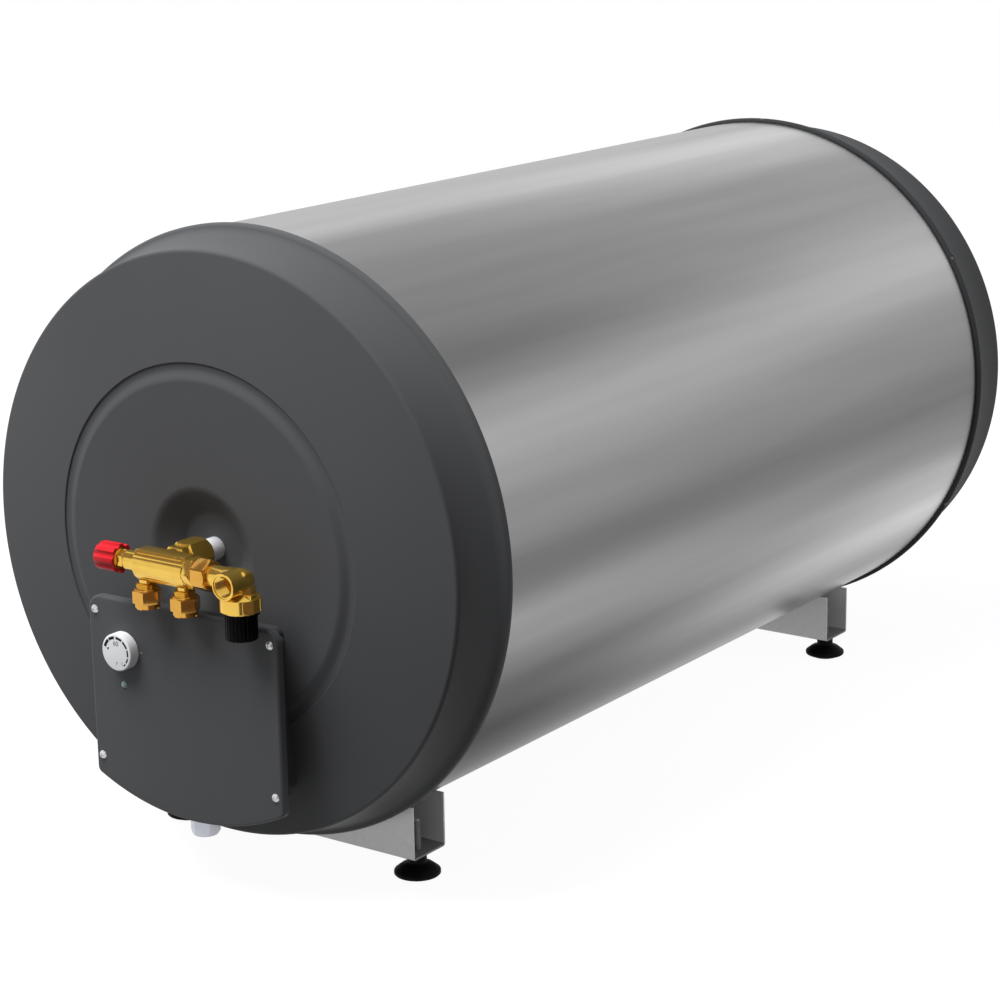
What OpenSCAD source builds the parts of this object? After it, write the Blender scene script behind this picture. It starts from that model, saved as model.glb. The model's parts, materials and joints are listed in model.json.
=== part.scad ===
// Horizontal storage water heater: a steel jacket between two plastic caps, on two
// channels with levelling feet. A mixing valve and a safety valve hang on the one pipe
// in the middle of the front cap, above the control box.
// Millimetres, +Z up. The front looks along -Y, and the floor is z = 0.
// Inside the modules y = 0 is the front joint of cap and jacket, and z = 0 is the axis.

/* [Jacket and caps] */
// Outside diameter of the steel jacket
jacket_d = 580; // [540:5:620]
// Visible length of the jacket between the two caps
jacket_len = 942; // [800:10:1200]
// Sheet thickness of the jacket
jacket_wall = 0.8; // [0.6:0.1:1.5]
// How far the jacket edge goes into the groove of each cap
jacket_lap = 6; // [4:0.5:7]
// Wall thickness of the caps
cap_wall = 3; // [2:0.5:4]
// How far the lip of a cap stands out past the jacket
lip_out = 4.4; // [3.5:0.1:6]
// Rounding of the lip
lip_round = 6; // [5:0.5:7]
// How far the crease behind the lip lies inside the jacket surface
crease_in = 3; // [2:0.5:5]
// Depth of that crease, from the joint
crease_depth = 12; // [11:0.5:14]
// Diameter of the face edge on both caps
face_d = 555; // [520:5:560]
// Depth of the face edge on the front cap, from the joint
front_edge_depth = 58; // [50:1:62]
// Depth of the face edge on the rear cap, from the joint
rear_edge_depth = 88; // [70:1:92]
// Width of the flat between the disc's sloping edge and the step line round it
step_flat = 4.5; // [3:0.5:8]
// How far the coned face rises from its edge to the step line
face_rise = 16; // [12:1:20]
// Depth of the step at that line
ring_step = 1.5; // [1:0.25:2.5]
// Diameter of the raised disc inside the step line
disc_d = 318; // [300:1:325]
// How far the raised disc stands out past the step line
disc_rise = 3; // [2:0.5:5]
// How far the face of the rear cap rises from its edge to the step line
rear_rise = 7; // [5:1:12]
// Diameter of the bowl in the middle of the front cap
bowl_d = 118; // [100:1:125]
// Diameter of the floor of the bowl
bowl_floor_d = 68; // [50:1:75]
// Depth of the bowl, from the raised disc
bowl_deep = 19; // [14:1:22]
// Number of small screws that hold the rear cap
cap_screw_n = 6; // [4:1:8]

/* [Tank] */
// Outside diameter of the inner tank
tank_d = 500; // [440:5:510]
// Wall of the inner tank
tank_wall = 2; // [1.5:0.5:3]
// Start of the tank barrel, from the front joint
barrel_start = 24; // [20:1:40]
// Gap from the rear joint back to the end of the barrel
barrel_end_gap = 12; // [5:1:40]
// Height of the dished heads
head_h = 62; // [50:1:64]
// Knuckle radius of the heads
head_knuckle = 30; // [20:1:40]
// Outside diameter of the pipe in the middle of the front head
stub_d = 22; // [18:0.5:24]
// Wall of that pipe
stub_wall = 1.5; // [1:0.25:2]
// Outside diameter of the hot water pipe inside it
hot_d = 12; // [10:0.5:14]
// Wall of the hot water pipe
hot_wall = 1; // [0.8:0.1:1.5]
// Outside diameter of the down pipe for cold water
cold_d = 16; // [14:1:18]
// Gap from the ends of the inner pipes to the tank wall
pipe_end_gap = 20; // [10:1:40]

/* [Heating element] */
// Height of the element axis below the tank axis
element_drop = 150; // [146:1:156]
// Outside diameter of the neck on the front head
neck_d = 76; // [70:1:80]
// Wall of the neck
neck_wall = 4; // [3:0.5:5]
// Outside diameter of the neck flange and the element plate
flange_d = 100; // [96:1:104]
// Thickness of the neck flange
flange_t = 8; // [6:0.5:10]
// Thickness of the gasket
gasket_t = 2; // [1:0.5:3]
// Thickness of the element plate
plate_t = 5; // [4:0.5:6]
// Bolt circle of the flange
flange_pcd = 87; // [86:0.5:88]
// Number of flange bolts
flange_bolt_n = 6; // [5:1:8]
// Diameter of the heating rods
rod_d = 8.4; // [7:0.2:9]
// Length of the heating rods inside the tank
rod_len = 560; // [300:10:700]
// Outside diameter of the sensor pocket
pocket_d = 9; // [8:0.5:10]
// Length of the sensor pocket behind the plate
pocket_len = 300; // [200:10:400]

/* [Control box] */
// Half width of the box
box_half_w = 94; // [90:1:100]
// Height of the box top below the tank axis
box_top = 56; // [52:1:58]
// Radius of the curved box bottom, about the tank axis
box_bottom_r = 232; // [226:1:240]
// Wall of the box
box_wall = 2.5; // [2:0.25:3]
// Corner radius of the box
box_corner = 8; // [6:1:12]
// Half width of the cover plate
cover_half_w = 115; // [112:1:122]
// Height of the cover top below the tank axis
cover_top = 48; // [42:1:50]
// Radius of the curved cover bottom, about the tank axis
cover_bottom_r = 250; // [244:1:256]
// Distance of the cover front from the joint
cover_front = 111.5; // [110:0.5:116]
// Depth of the cover rim
cover_rim = 8.5; // [6:0.5:12]
// Wall of the cover
cover_wall = 3; // [2:0.25:3.5]
// Rounding of the top corners of the cover
cover_corner = 14; // [10:1:18]
// Rounding of the bottom corners of the cover
cover_low_corner = 7; // [5:1:14]
// Rounding of the cover front edge
cover_edge = 3; // [2:0.5:4]
// Side distance of the cover screws from the middle
screw_x = 106.5; // [105:0.5:107]
// Drop of the upper cover screws below the axis
screw_top = 62; // [60:0.5:66]
// Drop of the lower cover screws below the axis
screw_low = 206.5; // [200:0.5:210]
// Head diameter of the cover screws
screw_head_d = 8.4; // [6:0.2:9]
// Diameter of the thermostat dial
dial_d = 38; // [30:1:40]
// Height of the dial in front of the cover
dial_h = 12.5; // [8:0.5:16]
// Side distance of the dial from the middle
dial_x = 71; // [69:0.5:72]
// Drop of the dial below the axis
dial_drop = 96; // [94:1:98]
// Side distance of the lamp from the middle
lamp_x = 74; // [70:0.5:78]
// Drop of the lamp below the axis
lamp_drop = 131; // [127:1:140]
// Diameter of the lamp lens
lamp_d = 7; // [5:0.5:8]
// Thread diameter of the cable gland
gland_d = 20; // [16:1:20]
// Width across the flats of the cable gland
gland_af = 25; // [24:1:27]
// Largest cable that passes the gland seal
cable_d = 10; // [6:0.5:12]
// Distance of the gland axis behind the cover front
gland_back = 22; // [20:0.5:24]

/* [Valves] */
// Distance of the valve axis in front of the joint
valve_front = 130; // [128:0.5:136]
// Radius of the round mixing body
mixer_r = 14; // [12:0.5:15]
// Left end of the mixing body
mixer_left = -26; // [-28:0.5:-26]
// Right end of the mixing body
mixer_right = 34; // [34:0.5:36]
// Half distance between the two flat bands of the body
band_half = 14.5; // [14:0.5:16]
// Width across the flats of the nut on the pipe
back_nut_af = 30; // [28:0.5:34]
// Side place of the left water connection
outlet_left = -21; // [-22:0.5:-19]
// Side place of the right water connection
outlet_right = 25; // [23:0.5:26]
// Pipe diameter of the two water connections
outlet_pipe_d = 15; // [12:1:15]
// Width across the flats of their nuts
outlet_nut_af = 24; // [24:0.5:27]
// Height of these nuts
outlet_nut_h = 21; // [18:0.5:24]
// Gap from the valve axis down to these nuts
outlet_nut_drop = 23; // [20:0.5:26]
// Outside diameter of the red knob
mix_knob_d = 30; // [26:0.5:34]
// Length of the red knob
mix_knob_len = 28; // [22:0.5:32]
// Number of flutes on the red knob
mix_knob_flutes = 8; // [6:1:10]
// Width across the flats of the union nut
union_af = 27; // [26.5:0.5:30]
// Side place of the safety valve axis
safety_x = 91; // [88:0.5:96]
// Outside diameter of the outlet socket of the safety valve
socket_d = 25; // [24:0.5:28]
// Bore of the outlet socket
socket_bore = 20; // [16:0.5:21]
// Distance of the socket mouth in front of the joint
socket_front = 153; // [150:0.5:158]
// Depth of the socket bore
socket_deep = 15; // [10:0.5:18]
// Diameter of the bell of the safety valve
bell_d = 36; // [34:0.5:40]
// Drop of the lower bell face below the axis
bell_drop = 27; // [26:0.5:30]
// Outside diameter of the black knob
safe_knob_d = 29.5; // [27:0.5:31]
// Length of the black knob
safe_knob_len = 23; // [22:0.5:28]
// Number of flutes on the black knob
safe_knob_flutes = 24; // [16:1:28]

/* [Supports] */
// Length of each channel across the heater
channel_len = 320; // [300:5:340]
// Width of each channel
channel_w = 50; // [44:1:60]
// Sheet thickness of the channels
channel_t = 2; // [1.5:0.25:3]
// Height of the channel walls at their ends
channel_h = 54; // [50:1:60]
// Gap between jacket and channel floor
channel_gap = 10; // [8:1:14]
// Distance of the front channel from the front joint, to its middle
front_channel_y = 46; // [40:1:120]
// Distance of the rear channel from the front joint, to its middle
rear_channel_y = 853; // [600:1:880]
// Side distance of the feet from the middle
foot_x = 145; // [120:1:146]
// Diameter of the foot pads
pad_d = 45; // [36:1:48]
// Height of the foot pads
pad_h = 26; // [22:1:30]
// Diameter of the collar of the foot pads
pad_collar_d = 18.6; // [16:0.2:22]
// Diameter of the foot studs
stud_d = 8; // [6:1:10]
// Length of the foot studs above the channel floor
stud_up = 30; // [27:1:34]

/* [Hidden] */
$fn = 96;

// Clearances: pieces that only slip together, and turning or sliding fits
slip = 0.1;
run = 0.05;
cut = 1;
wire_up = [0.3, 0.2, 0.93];

jacket_r = jacket_d/2;
jacket_in = jacket_r - jacket_wall;
lip_r = jacket_r + lip_out;
lip_flat = 2.5;
crease_r = jacket_r - crease_in;
face_r = face_d/2;
disc_r = disc_d/2;
disc_slope = 13;
ring_r = disc_r + disc_slope + step_flat;
bowl_r = bowl_d/2;
bowl_floor_r = bowl_floor_d/2;
collar_t = 2.5;
collar_reach = 15;
collar_out = jacket_in - slip;
collar_in = collar_out - collar_t;
front_ring_depth = front_edge_depth + face_rise;
rear_ring_depth = rear_edge_depth + rear_rise;
front_depth = front_ring_depth + disc_rise;
rear_depth = rear_ring_depth + disc_rise;
bowl_depth = front_depth - bowl_deep;
floor_y = channel_gap + channel_t + pad_h;
axis_h = jacket_r + floor_y;
mid_y = (jacket_len + rear_depth - socket_front)/2;

tank_r = tank_d/2;
barrel_end = jacket_len - barrel_end_gap;
crown_r = (pow(tank_r - head_knuckle, 2) + head_h*head_h - head_knuckle*head_knuckle)
    /(2*(head_h - head_knuckle));
crown_a = atan2(crown_r - head_h, tank_r - head_knuckle);
stub_r = stub_d/2;
stub_bore = stub_r - stub_wall;
stub_front = valve_front - 30;
stub_back = 40;
hot_r = hot_d/2;
hot_turn = 90;
cold_r = cold_d/2;
cold_wall = 1;
cold_cup_y = 26;
tank_reach = tank_r - tank_wall - pipe_end_gap;

neck_r = neck_d/2;
neck_front = front_depth + 1;
flange_face = neck_front + flange_t;
gasket_face = flange_face + gasket_t;
plate_face = gasket_face + plate_t;
flange_r = flange_d/2;
flange_hole_r = flange_r + 1;
bolt_r = 4;
bolt_af = 13;
bolt_head = 5.5;
hairpin_x = 14;
hairpin_step = 18;
pocket_r = pocket_d/2;
pocket_x = -25;
rod_stick = 9;

box_front = cover_front - cover_wall;
box_back = front_depth + box_wall;
ear_r = cover_half_w - cover_wall - screw_x - 2*slip;
ear_deep = 12;
plate_hole = 0.3;
screw_shank_r = 1.9;
box_screw_x = 80;
box_screw_z = [-70, -125];
spindle_r = 3;
stat_half = 17;
stat_front = box_front - 1.5;
stat_deep = 22;
gland_y = -(cover_front - gland_back);
gland_r = gland_d/2;
gland_seat = box_bottom_r + 1;
gland_inner = box_bottom_r - box_wall - 1.5;
gland_hex = 8;
gland_nut_h = 33;
cable_r = cable_d/2;

valve_y = -valve_front;
tail_r = 13;
tail_end = -(valve_front - 40);
olive_w = 4;
nut_back = -(valve_front - 54);
nut_front = -(valve_front - 26);
band_w = 22;
main_bore = 9.6;
collar_left = mixer_left - 16;
outlet_r = outlet_pipe_d/2 + slip;
outlet_neck_r = 10;
olive_h = 3;
outlet_nut_low = outlet_nut_drop + outlet_nut_h;
outlet_grip = 5;
outlet_neck_end = outlet_nut_low - outlet_grip - olive_h;
outlet_stop = outlet_neck_end - 12;
knob_right = collar_left - 8;
knob_left = knob_right - mix_knob_len;
mix_spindle_r = 4;
end_flange_w = 9;
union_left = mixer_right + end_flange_w;
union_thread = 11;
union_len = 17;
tail_flange = 3.5;
tail_left = union_left + union_thread;
safe_tail_r = 10.5;
socket_r = socket_d/2;
bell_r = bell_d/2;
stem_r = 2;
stem_end = bell_drop + 14;
seat_z = 5;
seat_r = 4;
disc_t = 2.5;
spring_floor = bell_drop - 9;
chamber_r = 8.5;
bonnet_r = 13;
bonnet_flange = 2.5;
safe_knob_top = bell_drop + bonnet_flange + 2*slip;
spring_wire = 1;
spring_turns = 5;

channel_z = jacket_r + channel_gap + channel_t;
bend_r = 3;
stud_sunk = 18;
pad_gap = 0.2;
thread_fit = run;
pad_r = pad_d/2;
boss_r = 10;
boss_h = 12;
channel_bolt_r = 5;
channel_bolt_af = 16;
channel_bolt_head = 6;
sleeve_r = 9;

// Points on an arc, as pairs of radius and depth
function arc(c, r, a, b, n) =
    [for (i = [0:n]) let (t = a + (b - a)*i/n) [c[0] + r*cos(t), c[1] + r*sin(t)]];
function flip(list) = [for (i = [len(list) - 1:-1:0]) list[i]];
function as_front(list) = [for (p = list) [p[0], -p[1]]];
function as_rear(list) = [for (p = list) [p[0], jacket_len + p[1]]];

// The cove between crease and face edge: its radius and its angle
function cove_r(edge) = (pow(crease_r - face_r, 2) + pow(edge - crease_depth, 2))
    /(2*(crease_r - face_r));
function cove_a(edge) = asin((edge - crease_depth)/cove_r(edge));
function cove(edge, inset) = arc([face_r + cove_r(edge), edge], cove_r(edge) + inset,
    180 + cove_a(edge), 180, 8);

// The bowl: two arcs that meet on a sloping wall
bowl_a = atan2(bowl_deep, bowl_r - bowl_floor_r);
bowl_mid = [(bowl_r + bowl_floor_r)/2, bowl_depth + bowl_deep/2];
bowl_lip = 14;
bowl_foot = 9;
bowl_lip_x = bowl_mid[0]
    + (cos(bowl_a)*(front_depth - bowl_lip - bowl_mid[1]) + bowl_lip)/sin(bowl_a);
bowl_foot_x = bowl_mid[0]
    + (cos(bowl_a)*(bowl_depth + bowl_foot - bowl_mid[1]) - bowl_foot)/sin(bowl_a);
function bowl(inset) = concat(
    arc([bowl_lip_x, front_depth - bowl_lip], bowl_lip - inset, 90, 90 + bowl_a, 5),
    arc([bowl_foot_x, bowl_depth + bowl_foot], bowl_foot + inset, 270 + bowl_a, 270, 4));

// Outside of a cap from the joint to the raised disc, and its inside back to the joint
function cap_outside(edge, ring) = concat([[lip_r, 0]],
    arc([lip_r - lip_round, lip_flat], lip_round, 0, 65, 5), cove(edge, 0),
    [[face_r - 1, edge + 1.5], [ring_r, ring], [ring_r - 0.5, ring - ring_step],
     [disc_r + disc_slope, ring - ring_step]],
    arc([disc_r, ring + disc_rise - 10], 10, 50, 90, 4));
function cap_inside(edge, ring) = concat(
    [[disc_r, ring + disc_rise - cap_wall],
     [disc_r + disc_slope - 1, ring - ring_step - cap_wall],
     [ring_r, ring - ring_step - cap_wall], [face_r - cap_wall, edge - cap_wall/2]],
    flip([for (p = cove(edge, cap_wall)) if (p[1] < edge - 1) p]),
    [[collar_in, jacket_lap], [collar_in, -collar_reach]]);
function cap_edge() = [[collar_out, -collar_reach], [collar_out, jacket_lap],
    [jacket_r + slip, jacket_lap], [jacket_r + slip, 0]];

// Outline of the tank outside, or of its inside with an inset
function head(inset) = concat(
    arc([tank_r - head_knuckle, 0], head_knuckle - inset, 0, crown_a, 6),
    arc([0, head_h - crown_r], crown_r - inset, crown_a, 90, 10));

// Outline of box and cover: straight top and sides, and a bottom about the tank axis
function tray(w, top, r, c, low, inset) =
    let (hw = w - inset, rr = r - inset, cc = max(c - inset, 0.5),
         cl = max(low - inset, 0.5), t = -top - inset,
         fz = -sqrt(pow(rr - cl, 2) - pow(hw - cl, 2)), fa = atan2(fz, hw - cl))
    concat(arc([hw - cc, t - cc], cc, 90, 0, 6), arc([hw - cl, fz], cl, 0, fa, 5),
        arc([0, 0], rr, fa, -180 - fa, 20), arc([cl - hw, fz], cl, -180 - fa, -180, 5),
        arc([cc - hw, t - cc], cc, 180, 90, 6));

// Placing and turning helpers
module on_axis() {
    translate([0, -mid_y, axis_h]) children();
}
module turned(points) {
    rotate([-90, 0, 0]) rotate_extrude() polygon(points);
}
module rod_y(y0, y1, r, x = 0, z = 0) {
    translate([x, y0, z]) rotate([-90, 0, 0]) cylinder(h = y1 - y0, r = r);
}
module rod_x(x0, x1, r, y = valve_y, z = 0) {
    translate([x0, y, z]) rotate([0, 90, 0]) cylinder(h = x1 - x0, r = r);
}
module rod_z(z0, z1, r, x = 0, y = 0) {
    translate([x, y, z0]) cylinder(h = z1 - z0, r = r);
}
module hex_y(y0, y1, af, x = 0, z = 0) {
    translate([x, y0, z]) rotate([-90, 0, 0]) cylinder(h = y1 - y0, d = af/cos(30), $fn = 6);
}
module hex_x(x0, x1, af, turn = 0) {
    translate([x0, valve_y, 0]) rotate([0, 90, 0]) rotate([0, 0, turn])
        cylinder(h = x1 - x0, d = af/cos(30), $fn = 6);
}
module hex_z(z0, z1, af, x = 0, y = 0, turn = 0) {
    translate([x, y, z0]) rotate([0, 0, turn])
        cylinder(h = z1 - z0, d = af/cos(30), $fn = 6);
}
module panel(y0, y1) {
    translate([0, y1, 0]) rotate([90, 0, 0]) linear_extrude(y1 - y0) children();
}
// A wire along a path, as one closed tube. No stretch of it may point along up.
module wire(path, r, up, sides = 8) {
    n = len(path);
    rings = [for (i = [0:n - 1])
        let (a = path[max(i - 1, 0)], b = path[min(i + 1, n - 1)], t = (b - a)/norm(b - a),
             u = cross(t, up)/norm(cross(t, up)), v = cross(t, u))
        each [for (j = [0:sides - 1])
            path[i] + r*(cos(360*j/sides)*u + sin(360*j/sides)*v)]];
    walls = [for (i = [0:n - 2], j = [0:sides - 1])
        let (k = (j + 1)%sides, m = i*sides)
        each [[m + j, m + sides + k, m + k], [m + j, m + sides + j, m + sides + k]]];
    ends = [for (j = [1:sides - 2])
        let (m = (n - 1)*sides)
        each [[0, j, j + 1], [m, m + j + 1, m + j]]];
    polyhedron(rings, concat(walls, ends));
}
module at_screws() {
    for (side = [-1, 1], drop = [screw_top, screw_low])
        translate([side*screw_x, 0, -drop]) children();
}
module at_flange_bolts() {
    for (i = [0:flange_bolt_n - 1])
        translate([0, 0, -element_drop]) rotate([0, i*360/flange_bolt_n, 0])
            translate([flange_pcd/2, 0, 0]) children();
}
module at_cap_screws() {
    for (i = [0:cap_screw_n - 1])
        rotate([0, -30 - i*360/cap_screw_n, 0])
            translate([0, jacket_len + lip_flat + 1, 0]) children();
}

// Shell
module jacket() {
    color([0.62, 0.62, 0.63]) difference() {
        rod_y(-jacket_lap, jacket_len + jacket_lap, jacket_r);
        rod_y(-jacket_lap - cut, jacket_len + jacket_lap + cut, jacket_in);
        at_cap_screws() rod_x(jacket_in - cut, jacket_r + cut, 1.6, 0);
        for (y = [front_channel_y, rear_channel_y])
            rod_z(-jacket_r - cut, -jacket_in + cut, channel_bolt_r + slip, 0, y);
    }
}
module front_cap() {
    hole_r = stub_r + slip;
    points = concat(cap_outside(front_edge_depth, front_ring_depth), bowl(0),
        [[hole_r, bowl_depth], [hole_r, bowl_depth - cap_wall]], flip(bowl(cap_wall)),
        cap_inside(front_edge_depth, front_ring_depth), cap_edge());
    color([0.29, 0.29, 0.3]) difference() {
        turned(as_front(points));
        rod_y(-front_depth - cut, 0, flange_hole_r, 0, -element_drop);
        for (side = [-1, 1], z = box_screw_z)
            rod_y(-front_depth - cut, -front_edge_depth, screw_shank_r, side*box_screw_x, z);
    }
}
module rear_cap() {
    points = concat(cap_outside(rear_edge_depth, rear_ring_depth),
        [[0, rear_depth], [0, rear_depth - cap_wall]],
        cap_inside(rear_edge_depth, rear_ring_depth), cap_edge());
    color([0.23, 0.23, 0.24]) difference() {
        turned(as_rear(points));
        at_cap_screws() {
            rod_x(collar_in - cut, lip_r + cut, 1.5, 0);
            rod_x(lip_r - 1.5, lip_r + cut, 3, 0);
        }
    }
}
module rear_cap_screws() {
    color([0.75, 0.75, 0.76]) at_cap_screws() difference() {
        union() {
            rod_x(collar_in, lip_r - 1.5, 1.5, 0);
            rod_x(lip_r - 1.5, lip_r + 0.3, 2.7, 0);
        }
        translate([lip_r, 0, 0]) cube([1, 3, 0.7], center = true);
        translate([lip_r, 0, 0]) cube([1, 0.7, 3], center = true);
    }
}

// Tank and foam
module tank_outline() {
    turned(concat([[0, barrel_end + head_h + slip]],
        flip([for (p = head(-slip)) [p[0], barrel_end + p[1]]]),
        [for (p = head(-slip)) [p[0], barrel_start - p[1]]]));
}
module insulation() {
    points = concat([[0, -bowl_depth + cap_wall]], as_front(concat(flip(bowl(cap_wall)),
        cap_inside(front_edge_depth, front_ring_depth), [[jacket_in, -collar_reach]])),
        flip(as_rear(concat([[0, rear_depth - cap_wall]],
            cap_inside(rear_edge_depth, rear_ring_depth), [[jacket_in, -collar_reach]]))));
    color([0.88, 0.8, 0.55]) difference() {
        turned(points);
        tank_outline();
        rod_y(-front_depth, barrel_start, stub_r);
        rod_y(-front_depth, barrel_start, neck_r, 0, -element_drop);
        for (side = [-1, 1], z = box_screw_z)
            rod_y(-front_depth, -front_depth + 12, screw_shank_r, side*box_screw_x, z);
        for (y = [front_channel_y, rear_channel_y])
            rod_z(-jacket_r, -tank_r + 3, boss_r, 0, y);
        at_cap_screws() rod_x(collar_in - cut, collar_in + cut, 1.6, 0);
    }
}
module tank_barrel() {
    color([0.7, 0.71, 0.72]) {
        difference() {
            rod_y(barrel_start, barrel_end, tank_r);
            rod_y(barrel_start - cut, barrel_end + cut, tank_r - tank_wall);
        }
        for (y = [front_channel_y, rear_channel_y]) difference() {
            rod_z(-tank_r - boss_h, -tank_r + tank_wall/2, boss_r, 0, y);
            rod_z(-tank_r - boss_h - cut, -tank_r - 2, channel_bolt_r, 0, y);
        }
    }
}
module head_shell() {
    rotate_extrude() polygon(concat(head(0), flip(head(tank_wall))));
}
module tank_front_head() {
    color([0.7, 0.71, 0.72]) difference() {
        translate([0, barrel_start, 0]) rotate([90, 0, 0]) head_shell();
        rod_y(barrel_start - head_h - cut, barrel_start, stub_r);
        rod_y(barrel_start - head_h - cut, barrel_start, neck_r, 0, -element_drop);
    }
}
module tank_rear_head() {
    color([0.7, 0.71, 0.72])
        translate([0, barrel_end, 0]) rotate([-90, 0, 0]) head_shell();
}
module pipe_stub() {
    color([0.85, 0.86, 0.88]) difference() {
        rod_y(-stub_front, stub_back, stub_r);
        rod_y(-stub_front - cut, stub_back + cut, stub_bore);
    }
}
module hot_tube() {
    color([0.8, 0.5, 0.3]) difference() {
        union() {
            rod_y(-stub_front, hot_turn, hot_r);
            translate([0, hot_turn, 0]) sphere(r = hot_r);
            rod_z(0, tank_reach, hot_r, 0, hot_turn);
        }
        rod_y(-stub_front - cut, hot_turn, hot_r - hot_wall);
        translate([0, hot_turn, 0]) sphere(r = hot_r - hot_wall);
        rod_z(0, tank_reach + cut, hot_r - hot_wall, 0, hot_turn);
    }
}
module cold_tube() {
    cup_end = stub_back + cold_cup_y;
    drop_y = (stub_back + cup_end)/2;
    color([0.7, 0.7, 0.72]) difference() {
        union() {
            rod_y(stub_back - 10, cup_end, stub_r + 2);
            rod_z(-tank_reach, 0, cold_r, 0, drop_y);
        }
        rod_y(stub_back - 10 - cut, stub_back, stub_r);
        rod_y(stub_back - cut, cup_end - 2, stub_r);
        rod_y(stub_back, cup_end + cut, hot_r);
        rod_z(-tank_reach - cut, 0, cold_r - cold_wall, 0, drop_y);
    }
}

// Heating element
module element_neck() {
    color([0.68, 0.69, 0.7]) difference() {
        union() {
            rod_y(-neck_front, 0, neck_r, 0, -element_drop);
            rod_y(-flange_face, -neck_front, flange_r, 0, -element_drop);
        }
        rod_y(-flange_face - cut, cut, neck_r - neck_wall, 0, -element_drop);
        translate([0, barrel_start, 0]) rotate([90, 0, 0]) rotate_extrude()
            polygon(concat([[0, 0]], head(tank_wall)));
        at_flange_bolts() rod_y(-flange_face - cut, -neck_front + cut, bolt_r);
    }
}
module flange_gasket() {
    color([0.1, 0.1, 0.1]) difference() {
        rod_y(-gasket_face, -flange_face, flange_r, 0, -element_drop);
        rod_y(-gasket_face - cut, -flange_face + cut, neck_r - neck_wall, 0, -element_drop);
        at_flange_bolts() rod_y(-gasket_face - cut, -flange_face + cut, bolt_r + slip);
    }
}
module at_rods() {
    for (step = [-1:1], side = [-1, 1])
        translate([side*hairpin_x, 0, -element_drop + step*hairpin_step]) children();
}
module element_flange() {
    color([0.72, 0.72, 0.73]) difference() {
        rod_y(-plate_face, -gasket_face, flange_r, 0, -element_drop);
        at_flange_bolts() rod_y(-plate_face - cut, -gasket_face + cut, bolt_r + slip);
        at_rods() rod_y(-plate_face - cut, -gasket_face + cut, rod_d/2);
        rod_y(-plate_face - cut, -gasket_face + cut, pocket_r, pocket_x, -element_drop);
    }
}
module flange_bolts() {
    color([0.6, 0.6, 0.62]) at_flange_bolts() {
        rod_y(-plate_face, -neck_front, bolt_r);
        hex_y(-plate_face - bolt_head, -plate_face, bolt_af);
    }
}
module heating_element() {
    color([0.45, 0.42, 0.4]) {
        at_rods() rod_y(-plate_face - rod_stick, rod_len, rod_d/2);
        for (step = [-1:1])
            translate([0, rod_len, -element_drop + step*hairpin_step]) difference() {
                rotate_extrude() translate([hairpin_x, 0]) circle(d = rod_d, $fn = 32);
                translate([-50, -100, -10]) cube([100, 100, 20]);
            }
    }
}
module sensor_pocket() {
    color([0.72, 0.5, 0.32]) difference() {
        rod_y(-plate_face, pocket_len, pocket_r, pocket_x, -element_drop);
        rod_y(-plate_face - cut, pocket_len - 2, pocket_r - 1, pocket_x, -element_drop);
    }
}
module sensor_capillary() {
    front = -plate_face - 6;
    color([0.75, 0.55, 0.35]) {
        rod_y(-plate_face + 1, pocket_len - 4, pocket_r - 1.2, pocket_x, -element_drop);
        wire([[pocket_x, -plate_face + 1, -element_drop], [pocket_x, front, -element_drop],
            [-dial_x + stat_half - 6, front, -element_drop + 22],
            [-dial_x + stat_half - 6, front, -dial_drop - stat_half]], 1, wire_up);
    }
}

// Electric pieces behind the cover
module thermostat() {
    color([0.9, 0.9, 0.86]) difference() {
        union() {
            translate([-dial_x - stat_half, -stat_front, -dial_drop - stat_half])
                cube([2*stat_half, stat_deep, 2*stat_half]);
            rod_y(-stat_front + stat_deep, -box_back, 7, -dial_x, -dial_drop);
            rod_y(-box_front, -stat_front, 5, -dial_x, -dial_drop);
        }
        rod_y(-box_front - cut, -stat_front + 16, spindle_r + run, -dial_x, -dial_drop);
    }
}
module thermostat_spindle() {
    color([0.8, 0.8, 0.82])
        rod_y(-cover_front - dial_h + 3, -stat_front + 15, spindle_r, -dial_x, -dial_drop);
}
module thermal_cutout() {
    color([0.25, 0.22, 0.2]) translate([-68, 0, -168]) {
        rod_y(-box_back - 13, -box_back, 14);
        rod_y(-box_back - 16, -box_back - 13, 3.5);
        for (side = [-1, 1])
            translate([side*9 - 3, -box_back - 19, -0.4]) cube([6, 6, 0.8]);
    }
}
module terminal_block() {
    color([0.93, 0.93, 0.9]) difference() {
        translate([55, -box_back - 20, -116]) cube([34, 20, 34]);
        for (i = [0:2]) {
            rod_y(-box_back - 20 - cut, -box_back - 9, 3, 61 + 11*i, -92);
            rod_z(-116 - cut, -100, 2.4, 61 + 11*i, -box_back - 10);
        }
    }
}
module wiring() {
    y = -plate_face - rod_stick - 2.5;
    color([0.2, 0.2, 0.6]) {
        wire([[61, -box_back - 14, -92], [61, y, -92], [40, y, -78],
            [-30, y, -78], [-dial_x + stat_half, y, -84]], 1.3, wire_up);
        wire([[72, -box_back - 14, -92], [72, y, -92], [78, y, -140],
            [hairpin_x + 8, y, -element_drop], [hairpin_x, y + 1, -element_drop]],
            1.3, wire_up);
        wire([[-59, -box_back - 19, -166.3], [-59, y, -166.3], [-34, y, -163],
            [-hairpin_x, y + 1, -element_drop]], 1.3, wire_up);
    }
}

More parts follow.
